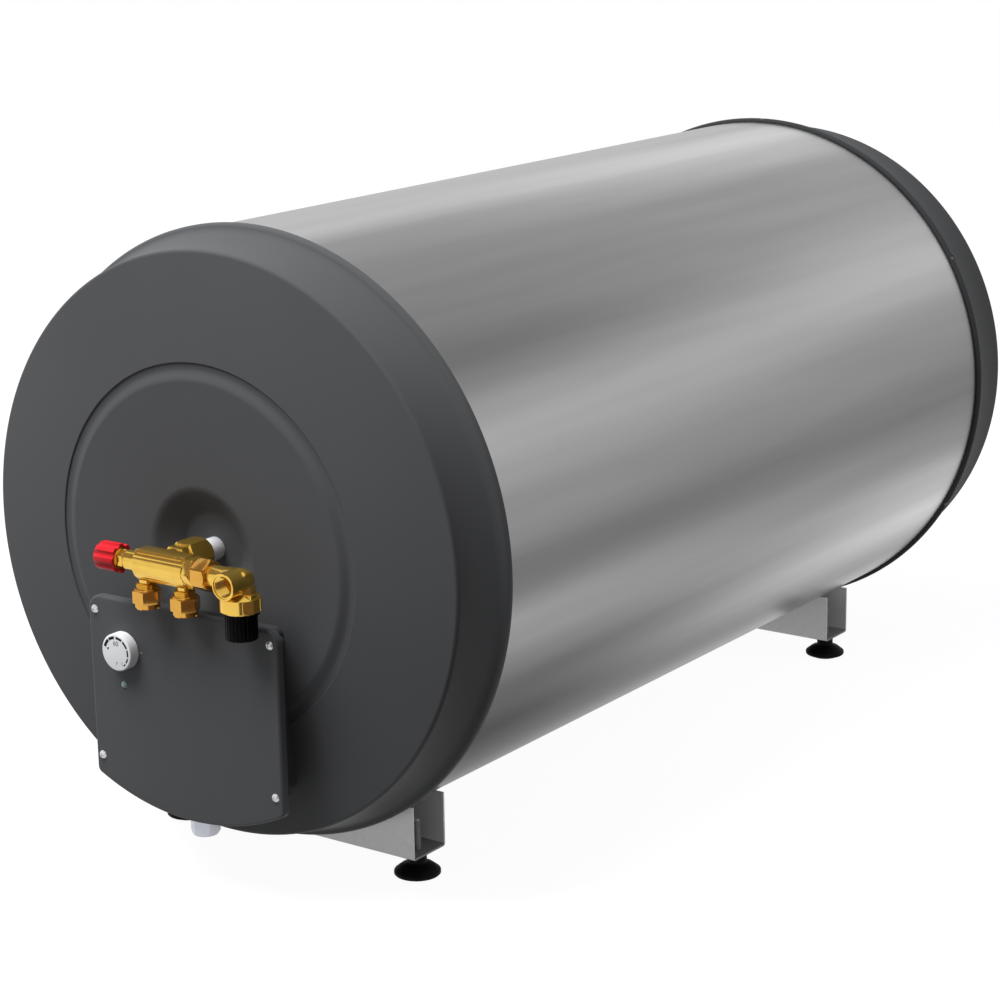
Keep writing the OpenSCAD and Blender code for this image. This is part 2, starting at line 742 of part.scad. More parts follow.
// Control box and cover
module cap_body() {
    turned(as_front(concat([[0, 0]], cap_outside(front_edge_depth, front_ring_depth),
        bowl(0), [[0, bowl_depth]])));
}
module control_box() {
    color([0.2, 0.2, 0.21]) difference() {
        union() {
            panel(-box_front, -front_edge_depth)
                polygon(tray(box_half_w, box_top, box_bottom_r, box_corner, box_corner, 0));
            at_screws() rod_y(-box_front, -box_front + ear_deep, ear_r);
            for (side = [-1, 1], drop = [screw_top, screw_low])
                translate([side*(box_half_w + screw_x)/2, -box_front + ear_deep/2, -drop])
                    cube([screw_x - box_half_w + 2, ear_deep, 2*ear_r], center = true);
            rod_z(-gland_seat, -gland_inner, gland_af/2 + 2, 0, gland_y);
        }
        difference() {
            panel(-box_front - cut, -front_edge_depth + cut)
                polygon(tray(box_half_w, box_top, box_bottom_r, box_corner, box_corner, box_wall));
            panel(-box_back, -front_depth)
                polygon(tray(box_half_w, box_top, box_bottom_r, box_corner, box_corner, 0));
            rod_z(-gland_seat, -gland_inner, gland_af/2 + 2, 0, gland_y);
        }
        cap_body();
        rod_y(-box_back - cut, -front_depth + cut, flange_hole_r, 0, -element_drop);
        at_screws() rod_y(-box_front - cut, -box_front + ear_deep - 1, screw_shank_r);
        rod_z(-gland_seat - cut, -gland_inner + cut, gland_r + slip, 0, gland_y);
        rod_z(-gland_inner, -gland_inner + 9, gland_af*0.6, 0, gland_y);
        for (side = [-1, 1], z = box_screw_z)
            rod_y(-box_back - cut, -front_depth + cut, screw_shank_r + slip,
                side*box_screw_x, z);
    }
}
module box_screws() {
    color([0.75, 0.75, 0.76]) for (side = [-1, 1], z = box_screw_z) {
        rod_y(-box_back - 2.5, -box_back, 4, side*box_screw_x, z);
        rod_y(-box_back, -front_depth + 10, screw_shank_r, side*box_screw_x, z);
    }
}
module cover_plate() {
    color([0.3, 0.3, 0.31]) difference() {
        hull() {
            panel(-cover_front + cover_edge, -cover_front + cover_rim)
                polygon(tray(cover_half_w, cover_top, cover_bottom_r, cover_corner,
                    cover_low_corner, 0));
            panel(-cover_front + 0.3*cover_edge, -cover_front + cover_edge)
                polygon(tray(cover_half_w, cover_top, cover_bottom_r, cover_corner,
                    cover_low_corner, 0.3*cover_edge));
            panel(-cover_front, -cover_front + cover_edge)
                polygon(tray(cover_half_w, cover_top, cover_bottom_r, cover_corner,
                    cover_low_corner, cover_edge));
        }
        panel(-box_front, -cover_front + cover_rim + cut)
            polygon(tray(cover_half_w, cover_top, cover_bottom_r, cover_corner,
                cover_low_corner, cover_wall));
        at_screws() rod_y(-cover_front - cut, -box_front + cut, screw_shank_r + plate_hole);
        rod_y(-cover_front - cut, -box_front + cut, spindle_r + plate_hole, -dial_x,
            -dial_drop);
        rod_y(-cover_front - cut, -box_front + cut, lamp_d/2 + slip, -lamp_x, -lamp_drop);
    }
}
// Domed cross-head screws
module cover_screws() {
    head_r = screw_head_d/2;
    dome = 2.6;
    ball = (head_r*head_r + dome*dome)/(2*dome);
    color([0.8, 0.81, 0.82]) at_screws() difference() {
        union() {
            rod_y(-cover_front, -box_front + ear_deep - 2, screw_shank_r);
            translate([0, -cover_front, 0]) rotate([90, 0, 0]) intersection() {
                translate([0, 0, dome - ball]) sphere(r = ball, $fn = 64);
                cylinder(h = dome + 1, r = head_r);
            }
        }
        translate([0, -cover_front - dome, 0]) cube([4, 3, 0.9], center = true);
        translate([0, -cover_front - dome, 0]) cube([0.9, 3, 4], center = true);
    }
}
module lamp_lens() {
    r = lamp_d/2;
    color([0.55, 0.75, 0.68]) translate([-lamp_x, 0, -lamp_drop])
        turned(as_front(concat([[0, box_front - 8], [r + 1, box_front - 8],
            [r + 1, box_front], [r, box_front]],
            arc([0, cover_front - 0.6*r], r/cos(31), 31, 90, 6))));
}
module dial() {
    r = dial_d/2;
    back = cover_front + 3*slip;
    front = cover_front + dial_h;
    color([0.92, 0.92, 0.93]) translate([-dial_x, 0, -dial_drop]) difference() {
        turned(as_front(concat([[0, back], [r, back]],
            arc([r - 2, front - 1.5], 1.5, 0, 90, 4),
            [[r - 3.2, front], [r - 4, front - 0.6], [0, front - 0.6]])));
        rod_y(-front + 3, -back + cut, spindle_r);
    }
}

// Cable gland under the box
module gland_body() {
    color([0.78, 0.79, 0.8]) difference() {
        union() {
            rod_z(-gland_seat - gland_hex - 14, -gland_inner + 9, gland_r, 0, gland_y);
            hex_z(-gland_seat - gland_hex, -gland_seat, gland_af, 0, gland_y);
        }
        rod_z(-gland_seat - gland_hex - 14 - cut, -gland_inner + 10, cable_r + 2, 0, gland_y);
    }
}
module gland_locknut() {
    color([0.78, 0.79, 0.8]) difference() {
        hex_z(-gland_inner, -gland_inner + 6, gland_af, 0, gland_y);
        rod_z(-gland_inner - cut, -gland_inner + 6 + cut, gland_r, 0, gland_y);
    }
}
module gland_seal() {
    top = gland_seat + gland_hex + 14;
    color([0.12, 0.12, 0.12]) difference() {
        rod_z(-top - 10, -top, gland_r - 0.5, 0, gland_y);
        rod_z(-top - 10 - cut, -top + cut, cable_r, 0, gland_y);
    }
}
module gland_nut() {
    top = gland_seat + gland_hex;
    low = top + gland_nut_h;
    seal_low = top + 24;
    r = gland_af/2;
    color([0.8, 0.81, 0.82]) translate([0, gland_y, 0]) difference() {
        union() {
            hex_z(-low + 13, -top, gland_af);
            rotate_extrude() polygon(concat([[0, -low + 14], [r, -low + 14]],
                arc([r - 9, -low + 9], 9, 0, -75, 7), [[0, -low + 0.3]]));
        }
        rod_z(-top - 14, -top + cut, gland_r, 0, 0);
        rod_z(-seal_low, -top - 13, gland_r - 0.5, 0, 0);
        rod_z(-low - cut, -seal_low + cut, cable_r + 1, 0, 0);
    }
}

// Mixing valve
module pipe_olive() {
    color([0.85, 0.65, 0.2]) difference() {
        rod_y(tail_end, tail_end + olive_w, tail_r);
        rod_y(tail_end - cut, tail_end + olive_w + cut, stub_r);
    }
}
module back_nut() {
    color([0.8, 0.6, 0.18]) difference() {
        intersection() {
            hex_y(nut_front, nut_back, back_nut_af);
            turned([[0, nut_front], [back_nut_af/2, nut_front], [back_nut_af*0.6, nut_front + 2.5],
                [back_nut_af*0.6, nut_back - 2.5], [back_nut_af/2, nut_back], [0, nut_back]]);
        }
        rod_y(nut_front - cut, tail_end + olive_w, tail_r + slip);
        rod_y(nut_front, nut_back + cut, stub_r + slip);
    }
}
module mixer_body() {
    color([0.83, 0.63, 0.2]) difference() {
        union() {
            rod_x(mixer_left, mixer_right, mixer_r);
            translate([(mixer_left + mixer_right)/2, valve_y, 0])
                cube([mixer_right - mixer_left, band_w, 2*band_half], center = true);
            rod_x(collar_left, mixer_left, 11);
            hex_x(mixer_right, union_left, union_af - 0.5, 30);
            rod_x(union_left - cut, tail_left, 12);
            rod_y(valve_y, tail_end, tail_r);
            hex_y(valve_y + 16, nut_front - slip, 27);
            for (x = [outlet_left, outlet_right])
                rod_z(-outlet_neck_end, 0, outlet_neck_r, x, valve_y);
        }
        rod_x(collar_left - cut, mixer_right - 12, main_bore);
        rod_x(mixer_right - 14, tail_left + cut, 8);
        rod_y(-stub_front, tail_end + cut, stub_r + run);
        rod_y(valve_y + 8, -stub_front + cut, hot_r);
        for (x = [outlet_left, outlet_right]) {
            rod_z(-outlet_neck_end - cut, -outlet_stop, outlet_r, x, valve_y);
            rod_z(-outlet_stop - cut, 0, 5.5, x, valve_y);
        }
    }
}
module mixer_cartridge() {
    color([0.7, 0.7, 0.66]) difference() {
        rod_x(mixer_left + 2, mixer_right - 12, main_bore);
        for (x = [mixer_left + 9, mixer_right - 22]) difference() {
            rod_x(x - 4, x + 4, main_bore + cut);
            rod_x(x - 5, x + 5, 7);
        }
    }
}
module mixer_bonnet() {
    color([0.8, 0.6, 0.18]) difference() {
        union() {
            rod_x(collar_left, mixer_left - 2, main_bore);
            hex_x(knob_right - 2, collar_left, 16);
            rod_x(knob_right - 3, knob_right + 1, 11);
        }
        rod_x(knob_right - 4, mixer_left - 2 + cut, mix_spindle_r + run);
    }
}
module mixer_spindle() {
    color([0.75, 0.55, 0.18])
        rod_x(knob_left + 4, mixer_left + 2 - 2*slip, mix_spindle_r);
}
module mixer_knob() {
    r = mix_knob_d/2;
    color([0.78, 0.07, 0.1]) difference() {
        translate([knob_left, valve_y, 0]) rotate([0, 90, 0]) intersection() {
            linear_extrude(mix_knob_len) difference() {
                circle(r = r);
                for (i = [0:mix_knob_flutes - 1]) rotate([0, 0, (i + 0.5)*360/mix_knob_flutes])
                    translate([r + 1.2, 0]) circle(r = 3.4, $fn = 32);
            }
            rotate_extrude() polygon([[0, 0], [r - 2.5, 0], [r - 0.5, 2], [r, mix_knob_len],
                [0, mix_knob_len]]);
        }
        rod_x(knob_right - 3.5, knob_right + cut, 11.5);
        rod_x(knob_left + 4, knob_right, mix_spindle_r);
        rod_x(knob_left - cut, knob_left + 1.2, 8.5);
    }
}
module outlet_olives() {
    color([0.85, 0.65, 0.2]) for (x = [outlet_left, outlet_right]) difference() {
        rod_z(-outlet_neck_end - olive_h, -outlet_neck_end, outlet_neck_r, x, valve_y);
        rod_z(-outlet_neck_end - olive_h - cut, -outlet_neck_end + cut, outlet_r, x, valve_y);
    }
}
module outlet_nuts() {
    skirt = 4.5;
    r = outlet_nut_af/2;
    color([0.8, 0.58, 0.17]) for (x = [outlet_left, outlet_right]) difference() {
        union() {
            hex_z(-outlet_nut_low + skirt, -outlet_nut_drop, outlet_nut_af, x, valve_y, 10);
            rod_z(-outlet_nut_low, -outlet_nut_drop + 1.5, r - 0.7, x, valve_y);
        }
        rod_z(-outlet_nut_low + outlet_grip, -outlet_nut_drop + 2, outlet_neck_r + slip,
            x, valve_y);
        rod_z(-outlet_nut_low - cut, -outlet_nut_drop, outlet_r, x, valve_y);
        for (i = [0:5]) translate([x, valve_y, -outlet_nut_low]) rotate([0, 0, i*60])
            translate([r - 1.5, 0, 0]) cube([3, 5, 2.4], center = true);
    }
}
module check_valve() {
    color([0.9, 0.9, 0.88]) difference() {
        rod_x(union_left - 4, tail_left - 1, 8);
        rod_x(union_left - 4 - cut, tail_left, 5);
    }
    color([0.9, 0.9, 0.88]) difference() {
        rod_x(union_left + 1, union_left + 3, 5.5);
        rod_x(union_left, union_left + 4, 3);
    }
}

// Safety valve
module union_nut() {
    right = tail_left + tail_flange + 2.5;
    color([0.8, 0.6, 0.18]) difference() {
        intersection() {
            hex_x(union_left + slip, right, union_af);
            translate([union_left, valve_y, 0]) rotate([0, 90, 0]) cylinder(
                h = right - union_left, r = union_af*0.56);
        }
        rod_x(union_left - cut, tail_left + tail_flange, 12 + slip);
        rod_x(union_left, right + cut, safe_tail_r + slip);
    }
}
module safety_body() {
    color([0.8, 0.58, 0.17]) difference() {
        union() {
            rod_x(tail_left, tail_left + tail_flange, 12);
            rod_x(tail_left, safety_x, safe_tail_r);
            translate([safety_x - cut, valve_y, 0]) rotate([0, 90, 0]) rotate_extrude()
                polygon(concat([[0, 0], [safe_tail_r, 0]],
                    arc([safe_tail_r - 5, 11], 5, 0, 90, 5), [[0, 16]]));
            translate([safety_x, valve_y, 0]) sphere(r = socket_r + 0.5);
            rod_y(-socket_front + 9, valve_y, socket_r - 0.5, safety_x);
            rod_y(-socket_front, -socket_front + 12, socket_r, safety_x);
            translate([safety_x, valve_y, 0]) rotate_extrude() polygon([[0, 0],
                [socket_r - 1, 0], [socket_r - 1, -9], [bell_r - 1, -14], [bell_r, -15.5],
                [bell_r, -bell_drop + 1.5], [bell_r - 1, -bell_drop], [0, -bell_drop]]);
        }
        rod_x(tail_left - cut, tail_left + 22, 6);
        rod_z(0, seat_z + 4, 2.5, tail_left + 18, valve_y);
        rod_x(tail_left + 18, safety_x + seat_r, 2, valve_y, seat_z + 4);
        rod_z(seat_z - cut, seat_z + 4, seat_r, safety_x, valve_y);
        rod_z(-spring_floor, seat_z, chamber_r, safety_x, valve_y);
        rod_z(-bell_drop - cut, -spring_floor, bonnet_r, safety_x, valve_y);
        rod_y(-socket_front - cut, -socket_front + socket_deep, socket_bore/2, safety_x);
        rod_y(-socket_front, valve_y, 5, safety_x);
    }
}
module safety_stem() {
    color([0.72, 0.72, 0.7]) {
        rod_z(seat_z - disc_t, seat_z - 0.02, chamber_r - 1, safety_x, valve_y);
        rod_z(-stem_end, seat_z - disc_t, stem_r, safety_x, valve_y);
        rod_z(-stem_end - 3, -stem_end, 4.5, safety_x, valve_y);
    }
}
// The spring winds up from its seat in the bonnet to the valve disc
module safety_spring() {
    w = spring_wire/2;
    low = -spring_floor + w + slip;
    high = seat_z - disc_t - w - slip;
    steps = 12*spring_turns;
    color([0.75, 0.75, 0.77]) translate([safety_x, valve_y, 0])
        wire([for (i = [0:steps]) [(chamber_r - 1.6)*cos(30*i), (chamber_r - 1.6)*sin(30*i),
            low + (high - low)*i/steps]], w, [0, 0, 1], 6);
}
module safety_bonnet() {
    color([0.08, 0.08, 0.08]) difference() {
        union() {
            rod_z(-bell_drop, -spring_floor, bonnet_r, safety_x, valve_y);
            rod_z(-bell_drop - bonnet_flange, -bell_drop, bell_r - 1, safety_x, valve_y);
            rod_z(-bell_drop - bonnet_flange - 5, -bell_drop - bonnet_flange, 10.5,
                safety_x, valve_y);
        }
        rod_z(-bell_drop - 20, -spring_floor + cut, stem_r + slip, safety_x, valve_y);
    }
}
module safety_knob() {
    r = safe_knob_d/2;
    low = safe_knob_top + safe_knob_len;
    color([0.07, 0.07, 0.07]) translate([safety_x, valve_y, -low]) difference() {
        linear_extrude(safe_knob_len) difference() {
            circle(r = r);
            for (i = [0:safe_knob_flutes - 1]) rotate([0, 0, i*360/safe_knob_flutes])
                translate([r + 0.5, 0]) circle(r = 1.1, $fn = 16);
        }
        translate([0, 0, 3]) cylinder(h = safe_knob_len, r = 10.5 + slip);
    }
}

// Supports
module channel(y) {
    half = channel_w/2;
    outer = concat([[-half, channel_h]], arc([-half + bend_r, bend_r], bend_r, 180, 270, 4),
        arc([half - bend_r, bend_r], bend_r, 270, 360, 4), [[half, channel_h]]);
    inner_r = bend_r - channel_t;
    inner = concat([[half - channel_t, channel_h]],
        arc([half - bend_r, bend_r], inner_r, 360, 270, 3),
        arc([-half + bend_r, bend_r], inner_r, 270, 180, 3), [[-half + channel_t, channel_h]]);
    color([0.56, 0.56, 0.56]) difference() {
        translate([-channel_len/2, y, -channel_z]) rotate([90, 0, 90])
            linear_extrude(channel_len) polygon(concat(outer, inner));
        rod_y(y - channel_w, y + channel_w, jacket_r);
        for (x = [-foot_x, foot_x])
            rod_z(-channel_z - cut, -channel_z + channel_t + cut, stud_d/2 + thread_fit, x, y);
        rod_z(-channel_z - cut, -channel_z + channel_t + cut, channel_bolt_r + slip, 0, y);
    }
}
module front_channel() {
    channel(front_channel_y);
}
module rear_channel() {
    channel(rear_channel_y);
}
// Bolt from the channel floor to the tank, with the sleeve between floor and jacket
module channel_bolts() {
    color([0.6, 0.6, 0.61]) for (y = [front_channel_y, rear_channel_y]) {
        rod_z(-channel_z, -tank_r - 3, channel_bolt_r, 0, y);
        hex_z(-channel_z - channel_bolt_head, -channel_z, channel_bolt_af, 0, y);
        difference() {
            rod_z(-channel_z + channel_t, -jacket_r + 2, sleeve_r, 0, y);
            rod_y(y - 20, y + 20, jacket_r);
        }
    }
}
module pad(side, y) {
    top = pad_h - pad_gap;
    collar_r = pad_collar_d/2;
    color([0.05, 0.05, 0.05]) translate([side*foot_x, y, -channel_z - pad_h]) difference() {
        rotate_extrude() polygon(concat([[0, 0], [pad_r - 3, 0]],
            arc([pad_r - 3, 3.5], 3, -60, 45, 5),
            [[collar_r + 1.5, top - 8.5], [collar_r, top - 7], [collar_r, top], [0, top]]));
        translate([0, 0, pad_h - stud_sunk - pad_gap])
            cylinder(h = stud_sunk + cut, r = stud_d/2 + run);
    }
}
module stud(side, y) {
    r = stud_d/2;
    len = stud_sunk + channel_t + stud_up;
    color([0.5, 0.5, 0.52]) translate([side*foot_x, y, -channel_z - stud_sunk])
        rotate_extrude() polygon([[0, 0], [r - 0.6, 0], [r, 0.6], [r, len - 0.6],
            [r - 0.6, len], [0, len]]);
}
module pad_front_left() { pad(-1, front_channel_y); }
module pad_front_right() { pad(1, front_channel_y); }
module pad_rear_left() { pad(-1, rear_channel_y); }
module pad_rear_right() { pad(1, rear_channel_y); }
module stud_front_left() { stud(-1, front_channel_y); }
module stud_front_right() { stud(1, front_channel_y); }
module stud_rear_left() { stud(-1, rear_channel_y); }
module stud_rear_right() { stud(1, rear_channel_y); }

on_axis() {
    jacket();
    front_cap();
    rear_cap();
    rear_cap_screws();
    insulation();
    tank_barrel();
    tank_front_head();
    tank_rear_head();
    pipe_stub();
    hot_tube();
    cold_tube();
    element_neck();
    flange_gasket();
    element_flange();
    flange_bolts();
    heating_element();
    sensor_pocket();
    sensor_capillary();
    thermostat();
    thermostat_spindle();
    thermal_cutout();
    terminal_block();
    wiring();
    control_box();
    box_screws();
    cover_plate();
    cover_screws();
    lamp_lens();
    dial();
    gland_body();
    gland_locknut();
    gland_seal();
    gland_nut();
    pipe_olive();
    back_nut();
    mixer_body();
    mixer_cartridge();
    mixer_bonnet();
    mixer_spindle();
    mixer_knob();
    outlet_olives();
    outlet_nuts();
    check_valve();
    union_nut();
    safety_body();
    safety_stem();
    safety_spring();
    safety_bonnet();
    safety_knob();
    front_channel();
    rear_channel();
    channel_bolts();
    pad_front_left();
    pad_front_right();
    pad_rear_left();
    pad_rear_right();
    stud_front_left();
    stud_front_right();
    stud_rear_left();
    stud_rear_right();
}
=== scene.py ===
"""The looks of the storage water heater: satin steel jacket, dark moulded caps, brass
valves, control box with its cover, and the channels it stands on.

Pieces are modelled in the maker's own measure: millimetres, with y = 0 at the joint of
front cap and jacket and z = 0 on the heater's axis. place_all() then sets them in the
frame, in metres. The front looks along -y, and right is +x.
"""
import json
import math

import bpy
from mathutils import Matrix, Vector


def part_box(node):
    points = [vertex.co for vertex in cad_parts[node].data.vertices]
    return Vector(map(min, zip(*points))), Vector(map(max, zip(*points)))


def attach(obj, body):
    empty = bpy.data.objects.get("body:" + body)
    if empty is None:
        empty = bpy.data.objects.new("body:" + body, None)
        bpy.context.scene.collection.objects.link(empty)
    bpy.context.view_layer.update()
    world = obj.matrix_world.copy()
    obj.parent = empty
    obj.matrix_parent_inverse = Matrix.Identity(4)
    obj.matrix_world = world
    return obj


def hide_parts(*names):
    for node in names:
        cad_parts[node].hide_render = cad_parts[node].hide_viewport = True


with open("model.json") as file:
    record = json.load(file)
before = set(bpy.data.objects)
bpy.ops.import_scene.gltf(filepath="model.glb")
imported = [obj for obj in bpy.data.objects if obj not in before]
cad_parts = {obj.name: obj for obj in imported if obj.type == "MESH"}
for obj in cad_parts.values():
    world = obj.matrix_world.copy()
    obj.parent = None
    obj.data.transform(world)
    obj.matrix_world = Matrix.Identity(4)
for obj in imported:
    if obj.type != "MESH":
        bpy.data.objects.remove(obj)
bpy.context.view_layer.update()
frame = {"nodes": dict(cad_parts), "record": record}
bpy.ops.object.select_all(action="DESELECT")

MM = 0.001
CREASE = 12
LAP = 6


def box(node):
    """Lowest and highest corner of a CAD node, in the maker's measure."""
    low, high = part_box(node)
    return (low - ORIGIN)/MM, (high - ORIGIN)/MM


jacket_low, jacket_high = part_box("jacket")
ORIGIN = Vector((0, jacket_low.y + LAP*MM, (jacket_low.z + jacket_high.z)/2))
JACKET_R = box("jacket")[1].x
JACKET_LEN = box("jacket")[1].y - LAP
LIP_R = box("front_cap")[1].x
FRONT_DEPTH = -box("front_cap")[0].y
REAR_DEPTH = box("rear_cap")[1].y - JACKET_LEN
FLOOR = -ORIGIN.z/MM

# Camera: the photograph's own view, found from the ellipses of caps and fittings
CAMERA_PLACE = (1584.31, -1820.86, 652.34)
CAMERA_RIGHT = (0.8158, 0.5780, -0.0169)
CAMERA_UP = (-0.1319, 0.2144, 0.9677)
CAMERA_LENS = 95.27

# Caps
CREASE_R = JACKET_R - 3
FACE_R = 277.5
FRONT_EDGE = 58
REAR_EDGE = 88
STEP_R = 176.5
STEP_DROP = 1.5
DISC_R = 159
DISC_RISE = 3
BOWL_MID = (46.5, 67.5)
CAP_WALL = 3

# Valves: their common axis, and the places along it
VALVE_Y = -130
OUTLETS = (-21, 25)
SAFETY_X = 91
DIAL = (-71, -96)
LAMP = (-74, -131)
COVER_FRONT = -111.5
COVER_SCREWS = [(106.5*side, z) for side in (-1, 1) for z in (-62, -206.5)]
CHANNELS = (46, 853)
FOOT_X = 145


# Modelling by hand, in the maker's measure

SPIN = {"x": (Vector((1, 0, 0)), Vector((0, 0, 1))),
        "y": (Vector((0, 1, 0)), Vector((1, 0, 0))),
        "z": (Vector((0, 0, 1)), Vector((1, 0, 0)))}


def arc(middle, radius, start, end, steps):
    """Points on an arc, as pairs, with both ends."""
    turns = [math.radians(start + (end - start)*i/steps) for i in range(steps + 1)]
    return [(middle[0] + radius*math.cos(a), middle[1] + radius*math.sin(a)) for a in turns]


def only(piece):
    """Makes a piece the one that the next operators work on."""
    bpy.ops.object.select_all(action="DESELECT")
    piece.select_set(True)
    bpy.context.view_layer.objects.active = piece
    return piece


def trace(name, points):
    """Draws a chain of edges through points, and stays in edit mode with it selected."""
    bpy.ops.object.select_all(action="DESELECT")
    bpy.ops.mesh.primitive_plane_add(size=1)
    piece = bpy.context.object
    piece.name = name
    bpy.ops.object.mode_set(mode="EDIT")
    bpy.ops.mesh.select_mode(type="VERT")
    bpy.ops.mesh.select_all(action="SELECT")
    bpy.ops.mesh.merge(type="CENTER")
    bpy.ops.transform.translate(value=points[0])
    for start, end in zip(points, points[1:]):
        bpy.ops.mesh.extrude_vertices_move(
            TRANSFORM_OT_translate={"value": Vector(end) - Vector(start)})
    bpy.ops.mesh.select_all(action="SELECT")
    return piece


def close_up(piece):
    """Merges what touches, turns the faces outward and leaves edit mode."""
    bpy.ops.mesh.select_all(action="SELECT")
    bpy.ops.mesh.remove_doubles(threshold=0.002)
    bpy.ops.mesh.normals_make_consistent(inside=False)
    bpy.ops.object.mode_set(mode="OBJECT")
    return piece


def lathe(name, outline, axis="z", at=(0, 0, 0), sides=64, turn=0):
    """Spins an outline of (radius, place along the axis) round an axis through at."""
    along, out = SPIN[axis]
    out = Matrix.Rotation(math.radians(turn), 3, along) @ out
    points = [Vector(at) + out*r + along*place for r, place in outline]
    if outline[0][0] > 0 or outline[-1][0] > 0:
        points.append(points[0])
    piece = trace(name, points)
    bpy.ops.mesh.spin(steps=sides, angle=math.tau, center=at, axis=along)
    return close_up(piece)


def slab(name, outline, push):
    """Fills a flat outline of points and pushes it out into a solid."""
    piece = trace(name, outline)
    bpy.ops.mesh.edge_face_add()
    bpy.ops.mesh.extrude_region_move(TRANSFORM_OT_translate={"value": push})
    return close_up(piece)


def panel(name, outline, front, back):
    """A slab seen from the front: an outline of (x, z) between two depths."""
    return slab(name, [Vector((x, front, z)) for x, z in outline], (0, back - front, 0))


def modify(piece, kind, **settings):
    """Puts a modifier on a piece and applies it."""
    only(piece)
    modifier = piece.modifiers.new(kind, kind)
    for setting, value in settings.items():
        setattr(modifier, setting, value)
    bpy.ops.object.modifier_apply(modifier=modifier.name)
    return piece


def combine(piece, *others, how="DIFFERENCE"):
    """Cuts other pieces out of a piece, or joins them to it."""
    for other in others:
        modify(piece, "BOOLEAN", object=other, operation=how, solver="EXACT")
        bpy.data.objects.remove(other, do_unlink=True)
        only(piece)
        bpy.ops.object.mode_set(mode="EDIT")
        close_up(piece)
    return piece


def soften(piece, width, angle=30, segments=2):
    """Breaks the sharp edges of a piece."""
    return modify(piece, "BEVEL", width=width, segments=segments, limit_method="ANGLE",
                  angle_limit=math.radians(angle), harden_normals=False)


def smooth(piece, angle=30):
    only(piece)
    bpy.ops.object.shade_smooth_by_angle(angle=math.radians(angle))
    return piece


def pick(piece, test):
    """Enters edit mode with the faces selected whose middle and normal pass the test."""
    only(piece)
    bpy.ops.object.mode_set(mode="EDIT")
    bpy.ops.mesh.select_mode(type="FACE")
    bpy.ops.mesh.select_all(action="DESELECT")
    bpy.ops.object.mode_set(mode="OBJECT")
    for face in piece.data.polygons:
        face.select = test(face.center, face.normal)
    bpy.ops.object.mode_set(mode="EDIT")


def settle(piece, matrix):
    """Moves or turns a piece and puts its new place in its mesh."""
    piece.matrix_world = matrix
    only(piece)
    bpy.ops.object.transform_apply(location=True, rotation=True, scale=True)
    return piece


def twin(piece, name, matrix):
    """A copy of a piece with its own mesh, in another place."""
    only(piece)
    bpy.ops.object.duplicate()
    copy = bpy.context.object
    copy.name = name
    return settle(copy, matrix)


def together(name, pieces):
    """Makes several loose pieces one."""
    bpy.ops.object.select_all(action="DESELECT")
    for piece in pieces:
        piece.select_set(True)
    bpy.context.view_layer.objects.active = pieces[0]
    bpy.ops.object.join()
    pieces[0].name = name
    return pieces[0]


def round_about(axis, degrees, at=(0, 0, 0)):
    """The matrix that turns about an axis through a point."""
    return (Matrix.Translation(at) @ Matrix.Rotation(math.radians(degrees), 4, axis)
            @ Matrix.Translation(-Vector(at)))


def nut(name, across, start, end, axis, at, turn=0, bore=0, front=2.0, back=2.0):
    """A hexagon whose ends are turned off to a cone, with a bore."""
    flat = across/2
    corner = across/math.sqrt(3)
    hexagon = lathe(name, [(0, start), (corner, start), (corner, end), (0, end)],
                    axis, at, 6, turn)
    barrel = lathe("barrel", [(0, start), (flat - 0.6, start), (corner + 0.3, start + front),
                              (corner + 0.3, end - back), (flat - 0.6, end), (0, end)],
                   axis, at, 96)
    combine(hexagon, barrel, how="INTERSECT")
    if bore:
        combine(hexagon, lathe("bore", [(0, start - 1), (bore, start - 1), (bore, end + 1),
                                        (0, end + 1)], axis, at, 64))
    return smooth(soften(hexagon, 0.25, 20), 24)


def rod(name, radius, start, end, axis, at, sides=48):
    """A plain round bar, used as a cutter or as a core."""
    return lathe(name, [(0, start), (radius, start), (radius, end), (0, end)], axis, at, sides)


def threads(radius, start, end, pitch, deep):
    """The outline of a thread, one crest and one root a pitch."""
    count = int(abs(end - start)/pitch)
    step = (end - start)/count
    points = []
    for i in range(count):
        points += [(radius - deep, start + step*i), (radius, start + step*(i + 0.35)),
                   (radius, start + step*(i + 0.6))]
    return points + [(radius - deep, end)]


PIECES = []


def done(piece, body, slot, look, *nodes):
    """Gives a piece its body, its finish and the CAD nodes that it stands for."""
    PIECES.append((piece, body, slot, look, nodes))
    return piece


def place_all():
    """Sets every piece in the frame, in metres, gives it its finish and its body, and hides the CAD
    nodes that it stands for.
    """
    for piece, body, slot, look, nodes in PIECES:
        settle(piece, Matrix.Translation(ORIGIN) @ Matrix.Scale(MM, 4))
        piece.data.materials.clear()
        piece.data.materials.append(look)
        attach(piece, body)
        if nodes:
            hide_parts(*nodes)


# Shader maths

class Value:
    """A number in a material. Sums on it add Math nodes."""

    def __init__(self, look, socket):
        self.look = look
        self.socket = socket

    def sum(self, operation, *inputs):
        node = self.look.node("ShaderNodeMath", {"operation": operation},
                              dict(enumerate(inputs)))
        return Value(self.look, node.outputs[0])

    def __add__(self, other):
        return self.sum("ADD", self, other)

    def __radd__(self, other):
        return self.sum("ADD", other, self)

    def __sub__(self, other):
        return self.sum("SUBTRACT", self, other)

    def __rsub__(self, other):
        return self.sum("SUBTRACT", other, self)

    def __mul__(self, other):
        return self.sum("MULTIPLY", self, other)

    def __rmul__(self, other):
        return self.sum("MULTIPLY", other, self)

    def __truediv__(self, other):
        return self.sum("DIVIDE", self, other)

    def between(self, low, high):
        """0 below low, 1 above high, and a smooth rise between."""
        node = self.look.node("ShaderNodeMapRange",
                              {"interpolation_type": "SMOOTHSTEP"},
                              {"Value": self, "From Min": low, "From Max": high})
        return Value(self.look, node.outputs["Result"])


